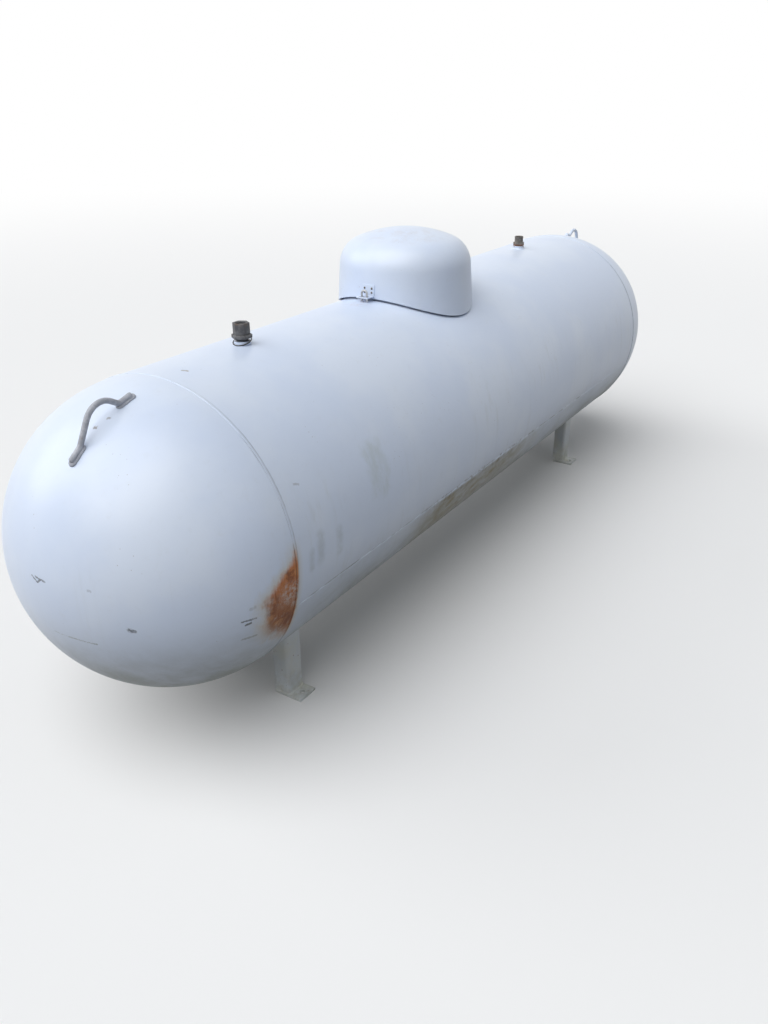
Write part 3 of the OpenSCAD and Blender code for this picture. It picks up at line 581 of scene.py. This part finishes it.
def turn(bm, profile, steps=64, place=None, unit=1.0):
    """Turns a profile of (r, z) points about Z, as on a lathe."""
    shape = bmesh.new()
    verts = [shape.verts.new((r * unit, 0, z * unit)) for r, z in profile]
    edges = [shape.edges.new(pair) for pair in zip(verts, verts[1:])]
    bmesh.ops.spin(shape, geom=verts + edges, cent=(0, 0, 0), axis=(0, 0, 1), dvec=(0, 0, 0),
                   angle=2 * pi, space=Matrix.Identity(4), steps=steps, use_merge=True,
                   use_normal_flip=False, use_duplicate=False)
    bmesh.ops.remove_doubles(shape, verts=shape.verts, dist=1e-6)
    join(bm, shape, place)


def turn_mm(bm, profile, steps=64, place=None):
    """Turns a profile that is drawn in millimetres."""
    turn(bm, profile, steps, place, MM)


def make_bar(sides, low_r, high_r, length, caps=True):
    """A straight round bar or tube that stands on its middle."""
    bar = bmesh.new()
    bmesh.ops.create_cone(bar, cap_ends=caps, cap_tris=False, segments=sides, radius1=low_r,
                          radius2=high_r, depth=length)
    return bar


def climb(edge):
    return abs(edge.verts[0].co.z - edge.verts[1].co.z)


def slice_bar(bar, cuts):
    """Cuts a standing bar across into equal lengths."""
    staves = [e for e in bar.edges if climb(e) > 1e-6]
    bmesh.ops.subdivide_edges(bar, edges=staves, cuts=cuts, use_grid_fill=True)


def break_edges(shape, edges, width):
    bmesh.ops.bevel(shape, geom=edges, offset=width, offset_type="OFFSET", segments=2, profile=0.5,
                    affect="EDGES", material=-1)


def hex_block(bm, flats, low, high, edge, place=None):
    """A hexagon bar with its edges broken, in millimetres."""
    corner_r = flats * MM / sqrt(3)
    shape = make_bar(6, corner_r, corner_r, (high - low) * MM)
    bmesh.ops.transform(shape, matrix=at(0, 0, (low + high) / 2 * MM) @ tilt(30, "Z"), verts=shape.verts)
    break_edges(shape, shape.edges[:], edge * MM)
    join(bm, shape, place)


def thread(radius, low, high, pitch, depth):
    """Profile points of a screwed length, from low to high."""
    count = max(2, int(round((high - low) / pitch)))
    step = (high - low) / count
    points = []
    for k in range(count):
        z = low + k * step
        points += [(radius - depth, z), (radius, z + step * 0.35), (radius, z + step * 0.65)]
    return points + [(radius - depth, high)]


def resample(path, spacing, closed):
    """Evenly spaced points along a path of Vectors."""
    if closed:
        path = path + path[:1]
    gaps = [(b - a).length for a, b in zip(path, path[1:])]
    count = max(3, int(round(sum(gaps) / spacing)))
    spots, walked, leg = [], 0.0, 0
    for k in range(count + (0 if closed else 1)):
        target = sum(gaps) * k / count
        while leg < len(gaps) - 1 and walked + gaps[leg] < target:
            walked += gaps[leg]
            leg += 1
        spots.append(path[leg].lerp(path[leg + 1], min(1.0, (target - walked) / gaps[leg])))
    return spots


def sweep(bm, path, radii, up_at, sides=12, closed=False, flat=1.0):
    """Bends a round bar along a path; up_at gives the section's up, flat squashes it that way."""
    count = len(path)
    stands = []
    for k, point in enumerate(path):
        ahead = path[(k + 1) % count] if closed or k < count - 1 else point
        behind = path[k - 1] if closed or k > 0 else point
        along = (ahead - behind).normalized()
        side = along.cross(Vector(up_at(point))).normalized()
        turned = Matrix((side, side.cross(along).normalized(), along)).transposed().to_4x4()
        section = Matrix.Diagonal((radii[k], radii[k] * flat, 0, 1))
        stands.append(at(*point) @ turned @ section)
    length = count if closed else count - 1
    bar = make_bar(sides, 1, 1, length, caps=not closed)
    bmesh.ops.translate(bar, verts=bar.verts, vec=(0, 0, length / 2))
    slice_bar(bar, length - 1)
    for v in bar.verts:
        v.co = stands[round(v.co.z) % count] @ v.co
    bmesh.ops.remove_doubles(bar, verts=bar.verts, dist=1e-7)
    join(bm, bar)


def out_of_barrel(point):
    return Vector((0, point.y, point.z - AXIS_H)).normalized()


def weld_bead(bm, path, radius, closed=False, pitch=0.003, up_at=out_of_barrel, ripple=0.1):
    """A laid weld: a low round bead whose ripples follow the torch."""
    path = resample(path, pitch / 2, closed)
    if closed and len(path) % 2:
        path = resample(path, pitch / 2 * len(path) / (len(path) + 1), closed)
    wobble = [0.05 * sin(k * 0.37) + 0.03 * sin(k * 1.7) for k in range(len(path))]
    radii = [radius * (1 + (ripple if k % 2 else 0.0) + w) for k, w in enumerate(wobble)]
    if not closed:
        radii[0] *= 0.5
        radii[-1] *= 0.5
    sweep(bm, path, radii, up_at, sides=8, closed=closed)


def half_height(y, grow=0.0):
    """How far the barrel's skin lies above and below its axis, at y."""
    return sqrt((SHELL_R + grow) ** 2 - y ** 2)


def on_top(x, y, grow):
    return Vector((x, y, AXIS_H + half_height(y, grow)))


def boss_ring(x, radius, deg=0.0, count=72):
    """The line where a round boss meets the barrel."""
    flat_ring = circle(Matrix.Identity(4), radius, count)
    return [on_shell(x, deg) @ Vector((p.x, p.y, half_height(p.y) - SHELL_R)) for p in flat_ring]


def cut_away(shape, cutter):
    """Cuts one closed shape out of another."""
    blocks = []
    for part in (shape, cutter):
        bmesh.ops.recalc_face_normals(part, faces=part.faces)
        mesh = bpy.data.meshes.new("block")
        part.to_mesh(mesh)
        part.free()
        blocks.append(put_in_scene("block", mesh))
    modifier = blocks[0].modifiers.new("bore", "BOOLEAN")
    modifier.operation = "DIFFERENCE"
    modifier.solver = "EXACT"
    modifier.object = blocks[1]
    graph = bpy.context.evaluated_depsgraph_get()
    cut = bpy.data.meshes.new_from_object(blocks[0].evaluated_get(graph))
    left = bmesh.new()
    left.from_mesh(cut)
    for mesh in [cut] + [block.data for block in blocks]:
        bpy.data.meshes.remove(mesh)
    return left


# Shell
BARREL_L = 2 * TANGENT_X - WELD_W
BEAD_R = WELD_W * 0.53
BEAD_FLAT = WELD_H * 1.75 / WELD_W


def roll_barrel():
    bm = make_bar(224, SHELL_R, SHELL_R, BARREL_L, caps=False)
    slice_bar(bm, 23)
    bmesh.ops.transform(bm, matrix=at(0, 0, AXIS_H) @ tilt(90, "Y"), verts=bm.verts)
    hand_over(bm, "rolled_barrel", "barrel_paint", "barrel", wall=SHELL_T)


def press_head(side, end):
    """A half ball, turned about Z and laid on its side with its top at the tank's end."""
    bm = bmesh.new()
    start = degrees(asin(WELD_W / 2 / SHELL_R))
    turn(bm, arc(0, 0, SHELL_R, start, 90, 72), 224, at(side * TANGENT_X, 0, AXIS_H) @ tilt(side * 90, "Y"))
    hand_over(bm, f"pressed_{end}_head", f"{end}_head_paint", f"{end}_head", wall=HEAD_T)


def lay_bead(line, swells, name, node, finish, closed):
    """A flat machine-laid bead; swells gives its size at each point, and every second one is a ripple."""
    bm = bmesh.new()
    radii = [BEAD_R * (swell - 0.08 * (k % 2)) for k, swell in enumerate(swells)]
    sweep(bm, line, radii, out_of_barrel, sides=14, closed=closed, flat=BEAD_FLAT)
    hand_over(bm, name, finish, node, sharp_deg=60)


def lay_girth_weld(side, end, finish):
    turns = around(896)
    line = [Vector((side * TANGENT_X + 0.0006 * sin(9 * a) * cos(5 * a + 0.7),
                    SHELL_R * sin(a), AXIS_H + SHELL_R * cos(a))) for a in turns]
    swells = [0.96 + 0.05 * sin(31 * a + 1.0) * sin(12 * a) for a in turns]
    lay_bead(line, swells, f"{end}_girth_bead", f"{end}_girth_weld", finish, True)


def lay_seam_weld():
    count = 680
    steps = [BARREL_L * (k / (count - 1) - 0.5) for k in range(count)]
    place = on_shell(0, SEAM_DEG)
    line = [place @ Vector((x, 0.0007 * sin(x * 4.1) * cos(x * 1.7), 0)) for x in steps]
    swells = [0.95 + 0.05 * sin(x * 61) for x in steps]
    lay_bead(line, swells, "lengthwise_weld", "barrel_seam_weld", "barrel_paint", False)


roll_barrel()
press_head(-1, "near")
press_head(1, "far")
lay_girth_weld(-1, "near", "barrel_paint")
lay_girth_weld(1, "far", "far_head_paint")
lay_seam_weld()


# Lifting lugs
def polar(radius, deg):
    return Vector((radius * cos(radians(deg)), radius * sin(radians(deg))))


def lug_centre_line():
    """The bent bar's centre line in its own plane: x along the head, y out of it."""
    toe_r = SHELL_R + 0.0003 + LUG_BAR_R
    near, far = polar(toe_r, 90 + LUG_TOE_DEG), polar(toe_r, 90 - LUG_TOE_DEG)
    half_near, half_far = polar(LUG_TOE_L / 2, LUG_TOE_DEG), polar(LUG_TOE_L / 2, -LUG_TOE_DEG)
    apex = Vector((-0.023, SHELL_R + 0.068))
    corners = [near - half_near, near + half_near, apex, far - half_far, far + half_far]
    bend_radii = [0.016, 0.045, 0.016]
    line = [corners[0]]
    for before, corner, after, bend in zip(corners, corners[1:], corners[2:], bend_radii):
        a, b = (before - corner).normalized(), (after - corner).normalized()
        half = a.angle(b) / 2
        cut = bend / tan(half)
        middle = corner + (a + b).normalized() * (bend / sin(half))
        first, last = corner + a * cut - middle, corner + b * cut - middle
        swept = first.angle_signed(last)
        for k in range(13):
            turned = first.copy()
            turned.rotate(Matrix.Rotation(-swept * k / 12, 2))
            line.append(middle + turned)
    return line + [corners[-1]]


def on_head(side, plane_turn):
    """Puts what lies in a lug's plane on its head."""
    return (at(side * TANGENT_X, 0, AXIS_H) @ tilt(plane_turn, "X") @ tilt(side * LUG_MID_DEG, "Y")
            @ tilt(90, "X") @ Matrix.Diagonal((side, 1, 1, 1)))


def bend_lug(side, plane_turn, end, finish):
    place = on_head(side, plane_turn)
    line = resample([place @ Vector((p.x, p.y, 0)) for p in lug_centre_line()], 0.0035, False)
    radii = [LUG_BAR_R] * len(line)
    radii[0] = radii[-1] = LUG_BAR_R * 0.86
    across = (place.to_3x3() @ Vector((0, 0, 1))).normalized()
    bm = bmesh.new()
    sweep(bm, line, radii, lambda point: across, sides=24)
    hand_over(bm, f"bent_{end}_lug", finish, f"{end}_lifting_lug", sharp_deg=50)


def weld_lug(side, plane_turn, end, finish):
    """A bead all round each toe, on the head's skin."""
    place = on_head(side, plane_turn)
    head_centre = Vector((side * TANGENT_X, 0, AXIS_H))
    straight, offset = LUG_TOE_L / 2 - 0.001, 0.0055
    bm = bmesh.new()
    for toe in (-1, 1):
        middle = polar(1.0, 90 - toe * LUG_TOE_DEG)
        along = Vector((middle.y, -middle.x))
        outline = []
        for way in (1, -1):
            for k in range(13):
                a = pi * k / 12 - pi / 2
                spot = middle * SHELL_R + along * way * (straight + offset * cos(a))
                skin = Vector((spot.x, spot.y, way * offset * sin(a))).normalized() * (SHELL_R + 0.0012)
                outline.append(place @ skin)
        weld_bead(bm, outline, 0.0041, True, 0.003, lambda point: (point - head_centre).normalized(), 0.07)
    hand_over(bm, f"{end}_lug_beads", finish, f"{end}_lug_welds", sharp_deg=60)


for side, plane_turn, end, finish in ((-1, 5.8, "near", "grey_lug"), (1, 1.8, "far", "fitting_paint")):
    bend_lug(side, plane_turn, end, finish)
    weld_lug(side, plane_turn, end, finish)


# Crown fittings, drawn in millimetres over the shell
def boss_fillet(kind, x, radius, bead, deg=0.0):
    bm = bmesh.new()
    weld_bead(bm, boss_ring(x, radius + 0.0008, deg), bead, True)
    hand_over(bm, f"{kind}_boss_fillet", "fitting_paint", sharp_deg=60)


def forge_relief_valve(place):
    bm = bmesh.new()
    turn_mm(bm, [(0, 9.5), (14.5, 9.5)] + thread(15, 9.8, 17.2, 1.8, 1.0) + [(0, 17.5)], 64, place)
    hex_block(bm, 46, 17, 26, 1.0, place)
    turn_mm(bm, [(0, 25.1), (18.8, 25.1), (18.8, 26.8), (0, 26.8)], 64, place)
    body, bore = bmesh.new(), bmesh.new()
    hex_block(body, 38, 25.5, 55, 1.2)
    turn_mm(bore, [(0, 40), (13.5, 40)] + thread(14, 40.2, 52, 2.2, 0.6)
            + [(14, 53), (15.8, 55.2), (15.8, 60), (0, 60)])
    join(bm, cut_away(body, bore), place)
    hand_over(bm, "relief_valve_forging", "valve_black", "relief_valve_body")
    bm = bmesh.new()
    turn_mm(bm, [(0, 40), (7.8, 40), (8.5, 40.7), (8.5, 45), (7.6, 46), (4.2, 46.4), (4.2, 49.8), (3.4, 50.8),
                 (0, 51)], 48, place)
    hand_over(bm, "relief_valve_disc", "poppet_grey", "relief_valve_poppet")


def hang_wire_ring(place):
    """The wire ring round the relief valve's neck, which lies on the shell on one side, and its tie."""
    ring_r, wire_r, slope_deg = 0.0235, 0.00142, 17
    rise = 0.0018 + ring_r * sin(radians(slope_deg))
    hang = place @ at(0, 0, rise) @ tilt(-slope_deg, "Y")
    ring = circle(hang, ring_r, 96)
    bm = bmesh.new()
    sweep(bm, ring, [wire_r] * len(ring), lambda point: hang.to_3x3() @ Vector((0, 0, 1)), closed=True)
    tie_r, tie_turns = 0.0012, [k * 0.35 for k in range(54)]
    tie = [hang @ Vector((ring_r + tie_r * cos(t), 0.0011 * (t / 6.28 - 1.5), tie_r * sin(t)))
           for t in tie_turns]
    sweep(bm, tie, [0.00042] * len(tie), lambda point: (point - place.translation).normalized(), sides=8)
    hand_over(bm, "relief_ring_wire", "black_wire", "relief_wire_ring", sharp_deg=60)


def make_plug(place):
    bm = bmesh.new()
    turn_mm(bm, [(0, 9.5)] + thread(15, 9.8, 12, 1.1, 0.7) + [(0, 12.2)], 48, place)
    hex_block(bm, 36, 11.8, 24, 1.0, place)
    hand_over(bm, "plug_hexagon", "plug_brown", "plug_body")
    bm = bmesh.new()
    outer = [(0, 24), (15, 24), (16, 25), (16, 40), (16.5, 41), (16.5, 44), (15.8, 45)]
    inner = [(13.8, 45), (13, 44), (13, 35), (11.8, 34), (0, 33.5)]
    turn_mm(bm, outer + inner, 64, place)
    hand_over(bm, "plug_cup", "plug_brown", "plug_cap")


boss_fillet("relief", RELIEF_X, 0.021, 0.0016)
boss_fillet("plug", PLUG_X, 0.021, 0.0034)
forge_relief_valve(on_shell(RELIEF_X))
hang_wire_ring(on_shell(RELIEF_X))
make_plug(on_shell(PLUG_X))


# Dome lid
def lid_wall_r(z):
    return LID_R - z * tan(LID_DRAFT)


def lid_profile():
    """The lid's outside from its wall to its middle, as (r, height over the crown)."""
    sine, cosine = sin(LID_DRAFT), cos(LID_DRAFT)
    crown_z = LID_RISE - LID_CROWN
    line_r = LID_R - LID_SHOULDER / cosine
    b = line_r * sine + crown_z * cosine
    c = line_r ** 2 + crown_z ** 2 - (LID_CROWN - LID_SHOULDER) ** 2
    s = b + sqrt(b ** 2 - c)
    shoulder = (line_r - s * sine, s * cosine)
    meet = degrees(atan2(shoulder[1] - crown_z, shoulder[0]))
    wall = [(lid_wall_r(z), z) for z in (0.0, 0.02, 0.04, 0.06)]
    over_shoulder = arc(*shoulder, LID_SHOULDER, degrees(LID_DRAFT), meet, 28)
    return wall + over_shoulder + arc(0, crown_z, LID_CROWN, meet, 90, 20)[1:]


def press_lid():
    bm = bmesh.new()
    turn(bm, lid_profile(), 192, at(DOME_X, 0, CROWN_Z))
    # The lower edge follows the shell
    rim = {v for e in bm.edges if e.is_boundary for v in e.verts}
    for v in rim:
        a = atan2(v.co.y, v.co.x - DOME_X)
        z = 0.0
        for _ in range(6):
            z = half_height(lid_wall_r(z) * sin(a), LID_GAP) - SHELL_R
        v.co = at(DOME_X, 0, CROWN_Z) @ Vector((lid_wall_r(z) * cos(a), lid_wall_r(z) * sin(a), z))
    hand_over(bm, "pressed_dome_lid", "lid_paint", "dome_lid", "dome_lid", 40, LID_T)


def rivet_lid_iron(name, side, half_gap, heights, radius, proud):
    """Four domed rivets on the iron on one side of the lid; heights are over the crown."""
    bm = bmesh.new()
    dome_r = (radius ** 2 + proud ** 2) / (2 * proud)
    foot = degrees(acos(radius / dome_r))
    head = [(0, -0.0006), (radius, -0.0006)] + arc(0, proud - dome_r, dome_r, foot, 90, 5)
    for y in (-half_gap, half_gap):
        for rise in heights:
            out = lid_wall_r(rise) + LID_T
            x = side * sqrt(out ** 2 - y ** 2)
            facing = Vector((x, y, out * tan(LID_DRAFT))).to_track_quat("Z", "Y").to_matrix().to_4x4()
            turn(bm, head, 20, at(DOME_X + x, y, CROWN_Z + rise) @ facing)
    hand_over(bm, name, "rivet_steel", body="dome_lid")


press_lid()
rivet_lid_iron("hasp_rivets", -1, 0.0125, (0.036, 0.024), 0.0034, 0.0018)
rivet_lid_iron("hinge_rivets", 1, 0.02, (0.04, 0.06), 0.0045, 0.0024)


# Welds of the collar, hinge, staple and legs
def weld_collar():
    bm = bmesh.new()
    for radius in (COLLAR_R + 0.0005, COLLAR_R - COLLAR_T - 0.0005):
        weld_bead(bm, boss_ring(DOME_X, radius, count=256), 0.003, True, 0.004)
    hand_over(bm, "collar_fillets", "fitting_paint", sharp_deg=60)


def weld_hinge_and_staple():
    pin_rise, pin_out, tongue_rise, staple_out = 0.018, 0.014, 0.012, 0.0215
    hinge_x = DOME_X + lid_wall_r(pin_rise) + pin_out
    staple_x = DOME_X - lid_wall_r(tongue_rise) - staple_out
    bm = bmesh.new()
    lines = [[on_top(x, y, 0.0003) for y in (-0.044, -0.022, 0.0, 0.022, 0.044)]
             for x in (hinge_x - 0.009, hinge_x + 0.027)]
    lines += [[on_top(x, y, 0.0003) for x in (hinge_x - 0.008, hinge_x + 0.026)] for y in (-0.0455, 0.0455)]
    for line in lines:
        weld_bead(bm, line, 0.0026)
    for y in (-0.009, 0.009):
        ring = circle(at(*on_top(staple_x, y, 0.0004)), 0.0036, 24)
        weld_bead(bm, ring, 0.0018, True, 0.002)
    hand_over(bm, "hinge_and_staple_fillets", "fitting_paint", sharp_deg=60)


def leg_outline(side_x, side_y):
    """The outside of a leg's channel, from one flange's end round to the other's."""
    half, bend, inner = 0.032, 0.01, LEG_Y - 0.046
    corner = [(bend * cos(a), bend * sin(a)) for a in (0.5, 1.05)]
    line = [(-half, inner), (-half, LEG_Y - bend)]
    line += [(bend - half - across, LEG_Y - bend + out) for across, out in corner]
    line += [(bend - half, LEG_Y), (half - bend, LEG_Y)]
    line += [(half - bend + out, LEG_Y - bend + across) for across, out in corner]
    line += [(half, LEG_Y - bend), (half, inner)]
    return [(side_x * LEG_X + x, side_y * y) for x, y in line]


def weld_legs():
    bm = bmesh.new()
    for side_x, side_y in ((-1, -1), (-1, 1), (1, -1), (1, 1)):
        line = leg_outline(side_x, side_y)
        top = [Vector((x, y, AXIS_H - half_height(y, 0.0005))) for x, y in line]
        weld_bead(bm, top, 0.004, pitch=0.0036)
        foot = [Vector((x, y, 0.0085)) for x, y in line]
        weld_bead(bm, foot, 0.003, False, 0.0036, lambda point: (0, 0, 1))
    hand_over(bm, "leg_fillets", "leg_paint", sharp_deg=60)


weld_collar()
weld_hinge_and_staple()
weld_legs()


# Valves under the lid, drawn in millimetres over the shell
SEAT = 14
HEX_TOP = 26


def make_screwed_valve(kind, x, deg, end_r, end_l):
    """A hexagon on its boss, with the threaded end that its cap screws onto."""
    bm = bmesh.new()
    place = on_shell(x, deg)
    end = HEX_TOP + end_l
    hex_block(bm, 2 * end_r, SEAT, HEX_TOP, 0.8, place)
    spigot = [(0, 25.5), (end_r - 2, 25.5)] + thread(end_r, 26.2, end - 1, 3.2, 1.6) + [(0, end)]
    turn_mm(bm, spigot, 64, place)
    hand_over(bm, f"{kind}_valve_forging", "valve_brass", f"{kind}_valve")


def make_cap(kind, x, deg, end_r, end_l, ribs):
    """A screwed cap with grips round its skirt."""
    inner, outer = end_r + 0.4, end_r + 4.4
    low, skirt = HEX_TOP + 0.3, HEX_TOP + end_l + 2.4
    top = skirt + 2
    bm, place = bmesh.new(), on_shell(x, deg)
    outside = [(inner, low), (outer - 0.6, low), (outer, low + 0.6), (outer, skirt - 1), (outer - 0.8, skirt)]
    crown = [(outer - 2, skirt + 0.2), (outer - 3, top), (outer * 0.62, top), (outer * 0.58, top - 1.2),
             (0, top - 1.4)]
    turn_mm(bm, [(0, skirt - 2), (inner, skirt - 2)] + outside + crown, 96, place)
    for k in range(ribs):
        rib = make_bar(12, 2.5 * MM, 2.2 * MM, (skirt - low - 0.8) * MM)
        break_edges(rib, [e for e in rib.edges if climb(e) < 1e-6], 0.6 * MM)
        join(bm, rib, place @ tilt(360 * k / ribs, "Z") @ at(outer * MM, 0, (low + skirt) / 2 * MM))
    hand_over(bm, f"{kind}_cap_moulding", "cap_plastic", f"{kind}_cap")


def forge_service_valve(place):
    bm = bmesh.new()
    hex_block(bm, 38.4, SEAT, HEX_TOP, 0.8, place)
    turn_mm(bm, [(0, 25.5), (16, 25.5), (16, 53), (15, 55.2), (13.5, 56), (0, 56)], 64, place)
    hex_block(bm, 26, 55.8, 68, 0.8, place)
    stem = [(0, 67.8), (6.2, 67.8), (6.2, 70.5), (4.5, 71.5)] + thread(4.5, 71.6, 76, 1.2, 0.6)
    turn_mm(bm, stem + [(4.5, 76.5), (4.5, 90.5), (3.6, 91.2), (0, 91.2)], 40, place)
    arm = [(0, 0), (14, 0), (14, 18.5), (16, 20.5), (16, 42.5), (14.5, 44), (11.5, 44)]
    bore = thread(11, 22.5, 42.5, 2, 0.8)[::-1] + [(9.5, 22), (0, 22)]
    turn_mm(bm, arm + bore, 64, place @ at(0, 0, 39 * MM) @ tilt(90, "X"))
    hand_over(bm, "service_valve_forging", "valve_brass", "service_valve")


def cast_handwheel(place):
    """The service valve's wheel: a rim with nine finger grips, a hub and three spokes."""
    bm = bmesh.new()
    hub = place @ at(0, 0, 82 * MM)
    rim = circle(hub, 27.5 * MM, 96)
    grips = [0.0045 - 0.0007 * max(0.0, cos(9 * a)) for a in around(96)]
    sweep(bm, rim, grips, lambda point: (0, 0, 1), sides=16, closed=True)
    turn_mm(bm, [(4.7, -6.3), (8, -6.3), (9, -5), (9, 5), (8, 6.3), (4.7, 6.3), (4.7, -6.3)], 48, hub)
    for k in range(3):
        spoke = bmesh.new()
        bmesh.ops.create_cube(spoke, size=1.0, matrix=Matrix.Diagonal((0.019, 0.0063, 0.0045, 1)))
        break_edges(spoke, spoke.edges[:], 1.2 * MM)
        join(bm, spoke, hub @ tilt(120 * k, "Z") @ at(16.5 * MM, 0, 0))
    hand_over(bm, "service_wheel_casting", "zinc_steel", "service_handwheel")
    bm = bmesh.new()
    hex_block(bm, 10, 88.4, 90.8, 0.4, place)
    hand_over(bm, "service_wheel_nut", "rivet_steel")


def bolt_gauge(place):
    """The gauge's flange and the bolts that hold it."""
    bm = bmesh.new()
    turn_mm(bm, [(0, 20), (38.5, 20), (40, 21.2), (40, 27.5), (38.5, 29), (24.5, 29), (23, 30), (23, 37),
                 (0, 37)], 96, place)
    hand_over(bm, "gauge_flange", "zinc_steel", "gauge_head")
    bm = bmesh.new()
    for k in range(4):
        seat = place @ tilt(45 + 90 * k, "Z") @ at(32 * MM, 0, 0)
        turn_mm(bm, [(0, 28.8), (6.6, 28.8), (6.6, 29.8), (0, 29.8)], 32, seat)
        hex_block(bm, 10, 29.6, 34, 0.5, seat)
    hand_over(bm, "gauge_bolts", "rivet_steel")


def dress_dial(place):
    """The gauge's bezel and face, its plain ticks and its pointer."""
    bm = bmesh.new()
    turn_mm(bm, [(0, 37.2), (21.5, 37.2), (23, 38.5), (23, 47.8), (22.2, 49), (20.5, 49), (20, 48.4),
                 (20, 46.2), (0, 46.2)], 96, place)
    hand_over(bm, "gauge_bezel", "cap_plastic", "gauge_dial")
    bm = bmesh.new()
    turn_mm(bm, [(0, 46.1), (19.8, 46.1), (19.8, 46.6), (19.6, 46.7), (0, 46.7)], 64, place)
    hand_over(bm, "gauge_face", "dial_white")
    bm = bmesh.new()
    long_tick, short_tick = (0.0168, 0.004, 0.0008), (0.0176, 0.0022, 0.0005)
    for k in range(21):
        middle_r, length, width = short_tick if k % 5 else long_tick
        seat = (place @ tilt(240 - 15 * k, "Z") @ at(middle_r, 0, 0.04678)
                @ Matrix.Diagonal((length, width, 0.0002, 1)))
        bmesh.ops.create_cube(bm, size=1.0, matrix=seat)
    hand_over(bm, "gauge_ticks", "cap_plastic")
    bm = bmesh.new()
    turn_mm(bm, [(0, 46.7), (2.2, 46.7), (2.2, 47.8), (1.6, 48.2), (0, 48.2)], 24, place)
    needle = make_bar(4, 1.2 * MM, 0.2 * MM, 14.5 * MM)
    lie_flat = tilt(90, "Y") @ Matrix.Diagonal((0.4, 1, 1, 1))
    join(bm, needle, place @ tilt(150, "Z") @ at(7 * MM, 0, 47.4 * MM) @ lie_flat)
    hand_over(bm, "gauge_pointer", "pointer_red")


make_screwed_valve("fill", FILL_X, 0, 22, 26)
make_screwed_valve("vapour", DOME_X, VAPOUR_DEG, 16, 20)
make_cap("fill", FILL_X, 0, 22, 26, 14)
make_cap("vapour", DOME_X, VAPOUR_DEG, 16, 20, 10)
forge_service_valve(on_shell(SERVICE_X))
cast_handwheel(on_shell(SERVICE_X))
bolt_gauge(on_shell(DOME_X))
dress_dial(on_shell(DOME_X))
boss_fillet("gauge", DOME_X, 0.043, 0.0036)
boss_fillet("fill", FILL_X, 0.026, 0.0032)
boss_fillet("service", SERVICE_X, 0.026, 0.0032)
boss_fillet("vapour", DOME_X, 0.026, 0.0032, VAPOUR_DEG)


# The solids that stay take their finish
kept_solids = {
    "fitting_paint": ("relief_boss", "plug_boss", "dome_collar", "gauge_boss", "fill_boss", "service_boss",
                    "vapour_boss", "hinge_bracket"),
    "zinc_steel": ("hinge_pin", "hasp_staple"),
    "lid_paint": ("lid_hinge_strap", "lid_hasp", "lid_stop"),
    "leg_paint": ("leg_near_front", "leg_near_back", "leg_far_front", "leg_far_back"),
}
for finish, nodes in kept_solids.items():
    for node in nodes:
        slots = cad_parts[node].data.materials
        slots.clear()
        slots.append(FINISHES[finish])


# Studio
def lay_floor():
    """A pale floor that fades into the white background."""
    bm = bmesh.new()
    bmesh.ops.create_grid(bm, x_segments=1, y_segments=1, size=60.0)
    mesh = bpy.data.meshes.new("studio_floor")
    bm.to_mesh(mesh)
    bm.free()
    f = Finish("studio_floor")
    seen = f.seen()
    f.done(f.tint(seen, (0.24, 0.24, 0.24), (0.86, 0.86, 0.86)), 0.9)
    far = f.rise(f.vector("LENGTH", f.place), 3.0, 13.0)
    glow = f.add("Emission").outputs[0]
    f.blend_shaders(f.times(far, seen), f.shader.outputs[0], glow, "Material Output")
    mesh.materials.append(f.material)
    put_in_scene("studio_floor", mesh)


def light_world():
    """A faint sky-blue fill for the tank, and white wherever the background itself is seen."""
    world = bpy.data.worlds.new("studio")
    bpy.context.scene.world = world
    world.use_nodes = True
    tree = NodeTree(world.node_tree)
    fill = tree.nodes["Background"]
    tree.feed(fill.inputs["Color"], (0.86, 0.93, 1.0))
    tree.feed(fill.inputs["Strength"], 0.15)
    white = tree.add("Background", {"Color": (1, 1, 1)})
    tree.blend_shaders(tree.seen(), fill.outputs[0], white.outputs[0], "World Output")


def hang_skylight(name, azimuth, height, spread, strength, colour=(1, 1, 1)):
    """A broad soft light that comes from the azimuth and height, in degrees."""
    data = bpy.data.lights.new(name, "SUN")
    data.energy = strength
    data.angle = radians(spread)
    data.color = colour
    lamp = put_in_scene(name, data)
    lamp.rotation_euler = (radians(90 - height), 0, radians(azimuth + 90))


def stand_camera():
    """The camera as the photograph's outlines gave it: its place, its aim and its focal length in pixels."""
    eye = (-2.4235, -1.4528, 1.4933)
    yaw, pitch, roll = radians(33.089), radians(26.3125), radians(-0.506)
    focal, picture_height, sensor = 869.66, 1024, 36.0
    ahead = Vector((cos(yaw) * cos(pitch), sin(yaw) * cos(pitch), -sin(pitch)))
    right = Vector((sin(yaw), -cos(yaw), 0))
    up = right.cross(ahead)
    across = right * cos(roll) + up * sin(roll)
    upward = up * cos(roll) - right * sin(roll)
    data = bpy.data.cameras.new("photo_camera")
    data.sensor_width = sensor
    data.lens = focal / picture_height * sensor
    data.clip_end = 200.0
    camera = put_in_scene("photo_camera", data)
    camera.matrix_world = at(*eye) @ Matrix((across, upward, -ahead)).transposed().to_4x4()
    bpy.context.scene.camera = camera


lay_floor()
light_world()
hang_skylight("key_light", 174, 58, 64, 2.6)
hang_skylight("side_light", 112, 28, 38, 0.8)
hang_skylight("front_fill", -50, 25, 80, 0.24, (0.92, 0.96, 1.0))
stand_camera()
bpy.context.scene.view_settings.view_transform = "Standard"
